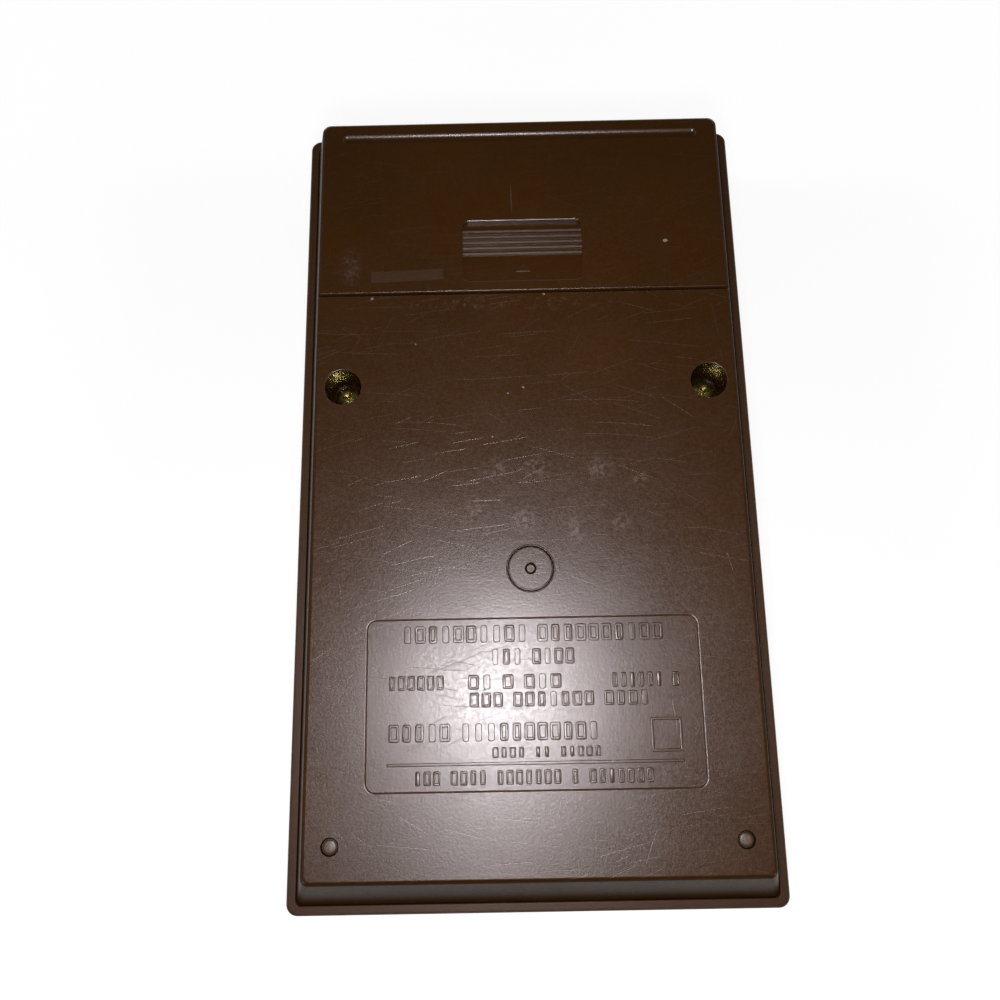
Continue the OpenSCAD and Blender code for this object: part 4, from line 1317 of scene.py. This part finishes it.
POSITIVE_ROUTE = [
    (30.9, 47.2, 9), (31.3, 45, 9), (31.7, 42, 9.2), (31.8, 38, 9.4), (31.8, 34, 9.6),
    (31.7, 30, 10.2), (31.2, 27.4, 11), (29.8, 25.6, 11.6), (28, 24.8, 11.6), (26, 24.6, 11.3),
]
NEGATIVE_ROUTE = [
    (30.9, 33.6, 7.4), (31.2, 32, 7.3), (31.4, 30, 7.3), (31.5, 28, 7.8), (31.6, 26.2, 8.8),
    (31.5, 24.8, 10.2), (30.8, 23.8, 11.3), (29.4, 23.2, 11.7), (27.8, 23, 11.6), (26, 22.8, 11.3),
]
WIRE_R = 0.59
for node, route, slot, color in (
    ("positive_wire", POSITIVE_ROUTE, "red_wire", (0.5, 0.02, 0.015)),
    ("negative_wire", NEGATIVE_ROUTE, "black_wire", (0.02, 0.02, 0.022)),
):
    lead = soften(tube(node + "_lead", smooth_route(route), WIRE_R, 16), 60)
    hand_over(lead, "root", [node], plain(slot, color, 0.42))

for node, body, slot, finish, width in (
    ("bridge_contact", "root", "contact_nickel", nickel, 0.1),
    ("positive_contact", "root", "contact_nickel", nickel, 0.1),
    ("negative_contact", "root", "contact_nickel", nickel, 0.1),
    ("switch_wiper", "power_knob", "contact_bronze", bronze, 0.04),
):
    strip = soften(ease_edges(cad_copy(node, node + "_strip"), width), 40)
    hand_over(strip, body, [node], finish)

# %% [markdown]
# ## Keypad side
#
# A key is one loft from its dished top to its stem: the top is a shallow hollow for the fingertip,
# the edge is rounded, the wall spreads into a flange that stops the key from falling out, and a
# round stem reaches the rubber dome. All 24 keys share the outline and differ in place and colour.

# %% Keys
KEY_NAMES = (
    "root", "percent", "sign", "clear", "memory_recall", "memory_clear", "memory_minus", "memory_plus",
    "7", "8", "9", "divide", "4", "5", "6", "times",
    "1", "2", "3", "minus", "0", "point", "equals", "plus",
)
LEGENDS = (
    "√", "%", "+/−", "C", "RM", "CM", "M−", "M+",
    "7", "8", "9", "÷", "4", "5", "6", "×", "1", "2", "3", "−", "0", "•", "=", "+",
)
KEY_W, KEY_H = 11.5, 7.2
KEY_TOP_Z, KEY_DISH, KEY_ROUND, KEY_TAPER = 0.5, 0.16, 0.45, 0.4
FACE_Z = 2.2
FLANGE_W, FLANGE_H, FLANGE_Z, FLANGE_T = 13, 8.8, 4.3, 0.6
STEM_R, STEM_END = 1.5, 6.15
# The function keys are dark, and one of them is red.
DARK_KEYS, RED_KEY = 8, 3
COLUMN_PITCH, ROW_PITCH, FIRST_ROW_Y = 16, 10.6, 4


def key_at(i):
    """Centre of key i, counted from the top left as the front is read."""
    return COLUMN_PITCH * (1.5 - i % 4), FIRST_ROW_Y - ROW_PITCH * (i // 4)


def key_cap(name, i):
    """Cap, flange and stem of key i as one closed mesh."""
    x, y = key_at(i)
    w, h = KEY_W / 2, KEY_H / 2

    def ring(half_x, half_y, r, z):
        return ring_at(z, half_x, half_y, r, x, y, steps=5)

    top_w, top_h = w - KEY_TAPER - KEY_ROUND, h - KEY_TAPER - KEY_ROUND
    rings = []
    for share in (0.12, 0.4, 0.65, 0.85, 1.0):
        hollow = KEY_DISH * (1 - share * share)
        rings.append(ring(top_w * share, top_h * share, 0.7 * share, KEY_TOP_Z + 0.01 + hollow))
    for k, (c, s) in enumerate(quarter_turn(5)[1:], start=1):
        out, z = KEY_ROUND * s, KEY_TOP_Z + 0.01 + KEY_ROUND * (1 - c)
        rings.append(ring(top_w + out, top_h + out, 0.7 + 0.2 * k / 5, z))
    rings += [ring(w - 0.01, h - 0.01, 0.8, z) for z in (FACE_Z, FLANGE_Z)]
    end = FLANGE_Z + FLANGE_T
    low = FLANGE_Z
    flange = ((0.05, low + 0.003), (0.005, low + 0.06), (0.005, end - 0.06), (0.05, end - 0.003))
    for inset, z in flange:
        rings.append(ring(FLANGE_W / 2 - inset, FLANGE_H / 2 - inset, 0.6, z))
    stem = ((0.15, end - 0.003), (0, end + 0.15), (0, STEM_END - 0.15), (-0.15, STEM_END - 0.005))
    for out, z in stem:
        rings.append(ring(STEM_R + out, STEM_R + out, STEM_R + out - 0.001, z))
    return soften(loft(name, rings), 40)


def legend(name, i, text):
    """Raised sign on a key, facing down and read with the display at the top."""
    x, y = key_at(i)
    words = bpy.data.curves.new(name, "FONT")
    words.body = text
    words.size = (3.9 if len(text) == 1 else 2.9) * MM
    words.extrude = 0.1 * MM
    words.resolution_u = 3
    words.align_x = "CENTER"
    words.align_y = "CENTER"
    shaped = linked(name, words)
    graph = bpy.context.evaluated_depsgraph_get()
    mesh = bpy.data.meshes.new_from_object(shaped.evaluated_get(graph))
    bpy.data.objects.remove(shaped)
    columns = [[v.co[k] for v in mesh.vertices] for k in (0, 1)]
    middle = [0.5 * (min(column) + max(column)) for column in columns]
    centre = Vector((x, y, KEY_TOP_Z + 0.2)) * MM
    for v in mesh.vertices:
        v.co = centre + Vector((middle[0] - v.co.x, v.co.y - middle[1], -v.co.z))
    rework(mesh, merged(0.002), face_outwards)
    return linked(name, mesh)


key_finishes = {
    "key_light": plain("key_light", (0.66, 0.6, 0.5), 0.45),
    "key_dark": plain("key_dark", (0.075, 0.058, 0.044), 0.45),
    "key_red": plain("key_red", (0.32, 0.06, 0.03), 0.45),
}
white_ink = plain("white_ink", (0.75, 0.73, 0.68), 0.5)
dark_ink = plain("dark_ink", (0.03, 0.025, 0.02), 0.5)
for i, (key, text) in enumerate(zip(KEY_NAMES, LEGENDS)):
    slot = "key_red" if i == RED_KEY else "key_dark" if i < DARK_KEYS else "key_light"
    node = "key_" + key
    hand_over(key_cap(node + "_cap", i), node, [node], key_finishes[slot])
    sign = legend(node + "_sign", i, text)
    sign.data.materials.append(dark_ink if slot == "key_light" else white_ink)
    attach(sign, node)

# %% [markdown]
# The face is a thin aluminium plate, brushed along its length and anodised a pale gold. Brushing is
# a noise stretched far along one axis, which changes the polish from line to line. A thin printed
# line frames the keypad.

# %% Face plate, window and switch
PALE_GOLD = (0.60, 0.50, 0.34)
SMOKE = (0.02, 0.018, 0.016)

face = Finish("face_aluminium", PALE_GOLD, 0.34, 1.0)
where = face.place()
brush = face.noise(face.mapped(where, 0, (0.12, 30, 30)), 1.0, 3.0)
face.set("Roughness", face.ramp(brush, 0.3, 0.7, 0.26, 0.46))
edge = face.math("ABSOLUTE", face.off_panel(where, -22.5, 31.4, 33.2))
frame_line = face.ramp(edge, 0.16, 0.12)
face.set("Base Color", face.blend(frame_line, PALE_GOLD, (0.03, 0.02, 0.015)))
face.set("Metallic", face.less(1.0, frame_line))
face.relief(brush, 0.15, 0.01)
plate = soften(ease_edges(cad_copy("faceplate", "face_plate"), 0.12), 40)
hand_over(plate, "root", ["faceplate"], face.material)

window = Finish("window_acrylic", SMOKE, 0.06)
clear = window.ramp(window.off_panel(window.place(), 38.15, 26.9, 6.8), 0.05, -0.05)
window.set("Base Color", window.blend(clear, SMOKE, (0.85, 0.85, 0.82)))
window.set("Transmission Weight", clear)
pane = soften(ease_edges(cad_copy("display_window", "window_pane"), 0.25, 4), 40)
hand_over(pane, "root", ["display_window"], window.material)

knob_finish = plain("knob_plastic", (0.55, 0.5, 0.42), 0.42)
knob = soften(ease_edges(cad_copy("power_knob", "knob"), 0.1), 40)
hand_over(knob, "power_knob", ["power_knob"], knob_finish)

# %% [markdown]
# ## Inside
#
# The electronics stay as the frame draws them, with small rounded edges where a tool or a mould
# would leave them. The board is brown laminate with tinned copper tracks, drawn here as the cells
# of a distorted grid.

# %% Inside pieces
LAMINATE = (0.23, 0.12, 0.03)

board = Finish("board", LAMINATE, 0.5)
cells = {"Vector": board.mapped(board.place(), 0, (1.3, 5.2, 5)), "Scale": 1.0}
square = {"distance": "CHEBYCHEV", "feature": "F1"}
tracks = board.ramp(board.node("ShaderNodeTexVoronoi", cells, "Distance", **square), 0.30, 0.34)
board.set("Base Color", board.blend(tracks, LAMINATE, (0.42, 0.30, 0.12)))
board.set("Roughness", board.ramp(tracks, 0.0, 1.0, 0.5, 0.32))
board.set("Metallic", board.times(tracks, 0.6))
film = Finish("polariser_film", (0.30, 0.33, 0.26), 0.2)
film.set("Transmission Weight", 0.8)
glass = Finish("lcd_glass", (0.62, 0.68, 0.58), 0.05)
glass.set("Transmission Weight", 0.9)
foil = metal("reflector_foil", (0.58, 0.60, 0.52), 0.42)

# Node, material slot, finish or the colour and roughness of a plain one, and width of its edges.
INSIDE = (
    ("main_pcb", "board", board.material, 0.05),
    ("contact_sheet", "sheet_rubber", ((0.07, 0.075, 0.08), 0.65), 0.0),
    ("lcd_polariser", "polariser_film", film.material, 0.0),
    ("lcd_glass", "lcd_glass", glass.material, 0.06),
    ("lcd_reflector", "reflector_foil", foil, 0.03),
    ("lcd_clip", "black_plastic", ((0.012, 0.012, 0.012), 0.5), 0.15),
    ("zebra_strip", "zebra_rubber", ((0.33, 0.24, 0.18), 0.6), 0.08),
    ("calculator_chip", "chip_plastic", ((0.012, 0.012, 0.014), 0.55), 0.0),
    ("filter_capacitor", "capacitor_sleeve", ((0.012, 0.03, 0.12), 0.3), 0.12),
    ("ceramic_capacitors", "ceramic_disc", ((0.4, 0.09, 0.018), 0.35), 0.2),
    ("resistors", "resistor_body", ((0.42, 0.25, 0.11), 0.4), 0.08),
)
for node, slot, finish, width in INSIDE:
    if isinstance(finish, tuple):
        finish = plain(slot, *finish)
    piece = cad_copy(node, node + "_piece")
    if width:
        ease_edges(piece, width)
    hand_over(soften(piece, 40), "root", [node], finish)

# %% [markdown]
# ## Light and camera
#
# The light that matters is a small lamp right beside the camera, like a flash: it makes the broad
# glare on the satin back, the bright lines in the ribs and grooves and the glints in the screw
# wells. Soft light from low all round keeps the floor white. The sky overhead stays dark, because
# the flat back would mirror it and the brown would go grey.

# %% Camera
RIGHT = Vector((0.99979, -0.01810, -0.00923))
UP = Vector((0.01976, 0.97189, 0.23462))
VIEW = Vector((-0.00472, 0.23475, -0.97204))
EYE = Vector((-3.540, -35.114, 150.103))
LENS = 32.89
SENSOR = 36

camera_data = bpy.data.cameras.new("camera")
camera_data.sensor_width = SENSOR
camera_data.lens = LENS
camera_data.clip_start = 0.005
camera = linked("camera", camera_data)
turned_to = Matrix((RIGHT, UP, -VIEW)).transposed().to_4x4()
camera.matrix_world = Matrix.Translation(EYE * MM) @ turned_to
scene.camera = camera
print("camera", [round(v, 1) for v in EYE], "mm, lens", LENS, "mm")

# %% [markdown]
# The floor is a wide white slab that also glows a little, so that it stays white while the small
# flash lights the calculator alone. Light linking keeps the flash off the floor. The two big lamps
# at the sides only fill the shadows, and glossy plastic doesn't mirror them. The camera sees the
# sky as plain white, while the case is lit by its dark upper half.


# %% Floor, lamps and sky
def lamp_at(name, place, aim, size, power, tint=(1, 1, 1)):
    """Round area lamp, its size in millimetres."""
    data = bpy.data.lights.new(name, "AREA")
    data.shape = "DISK"
    data.size = size * MM
    data.energy = power
    data.color = tint
    lamp = linked(name, data)
    lamp.location = Vector(place) * MM
    lamp.rotation_mode = "QUATERNION"
    lamp.rotation_quaternion = (Vector(aim) - Vector(place)).to_track_quat("-Z", "Y")
    return lamp


WHITE = (1, 1, 1, 1)
FLOOR_HALF = 2500
FLOOR_GLOW = 0.82
FLASH_TINT = (1.0, 0.945, 0.985)
# Sine of the height in the sky where it starts to darken, and of where it is fully dark.
SKY_FADE = (0.1, 0.42)
SKY_LOW, SKY_HIGH = 1.1, 0.012

floor_outline = outline(-FLOOR_HALF, FLOOR_HALF, -FLOOR_HALF, FLOOR_HALF, 100, steps=8)
floor = loft("floor", [at_height(floor_outline, -10), at_height(floor_outline, -0.02)])
floor_finish = Finish("floor_white", (0.8, 0.8, 0.8), 0.9)
floor_finish.set("Emission Color", WHITE)
floor_finish.set("Emission Strength", FLOOR_GLOW)
floor.data.materials.append(floor_finish.material)

flash = lamp_at("flash", (-5.5, -28, 150), (-5.5, -28, 22), 17, 0.212, FLASH_TINT)
lamp_at("low_glare", (-8, -66, 150), (-8, -60, 22), 34, 0.040, FLASH_TINT)
for name, side in (("left", -1), ("right", 1)):
    lamp_at(name, (620 * side, -60 * side, 260), (0, 0, 0), 300, 0.6).visible_glossy = False

not_floor = bpy.data.collections.new("not lit by the flash")
not_floor.objects.link(floor)
not_floor.collection_objects[0].light_linking.link_state = "EXCLUDE"
flash.light_linking.receiver_collection = not_floor

world = bpy.data.worlds.new("studio")
world.use_nodes = True
sky = world.node_tree
upward = add_node(sky, "ShaderNodeTexCoord", out="Generated")
upward = add_node(sky, "ShaderNodeSeparateXYZ", {0: upward}, out=2)
fade = add_node(sky, "ShaderNodeMapRange", ramp_ends(upward, *SKY_FADE, SKY_LOW, SKY_HIGH), **SMOOTH)
seen = add_node(sky, "ShaderNodeLightPath", out="Is Camera Ray")
background = sky.nodes["Background"].inputs
join(background["Strength"], add_node(sky, "ShaderNodeMath", {0: fade, 1: seen}, operation="MAXIMUM"))
join(background["Color"], WHITE)
scene.world = world
scene.view_settings.view_transform = "Standard"

# %% [markdown]
# Last, the number of pieces and of their triangles is printed.

# %% Finish
print("pieces:", len(made), "triangles:", sum(made.values()))
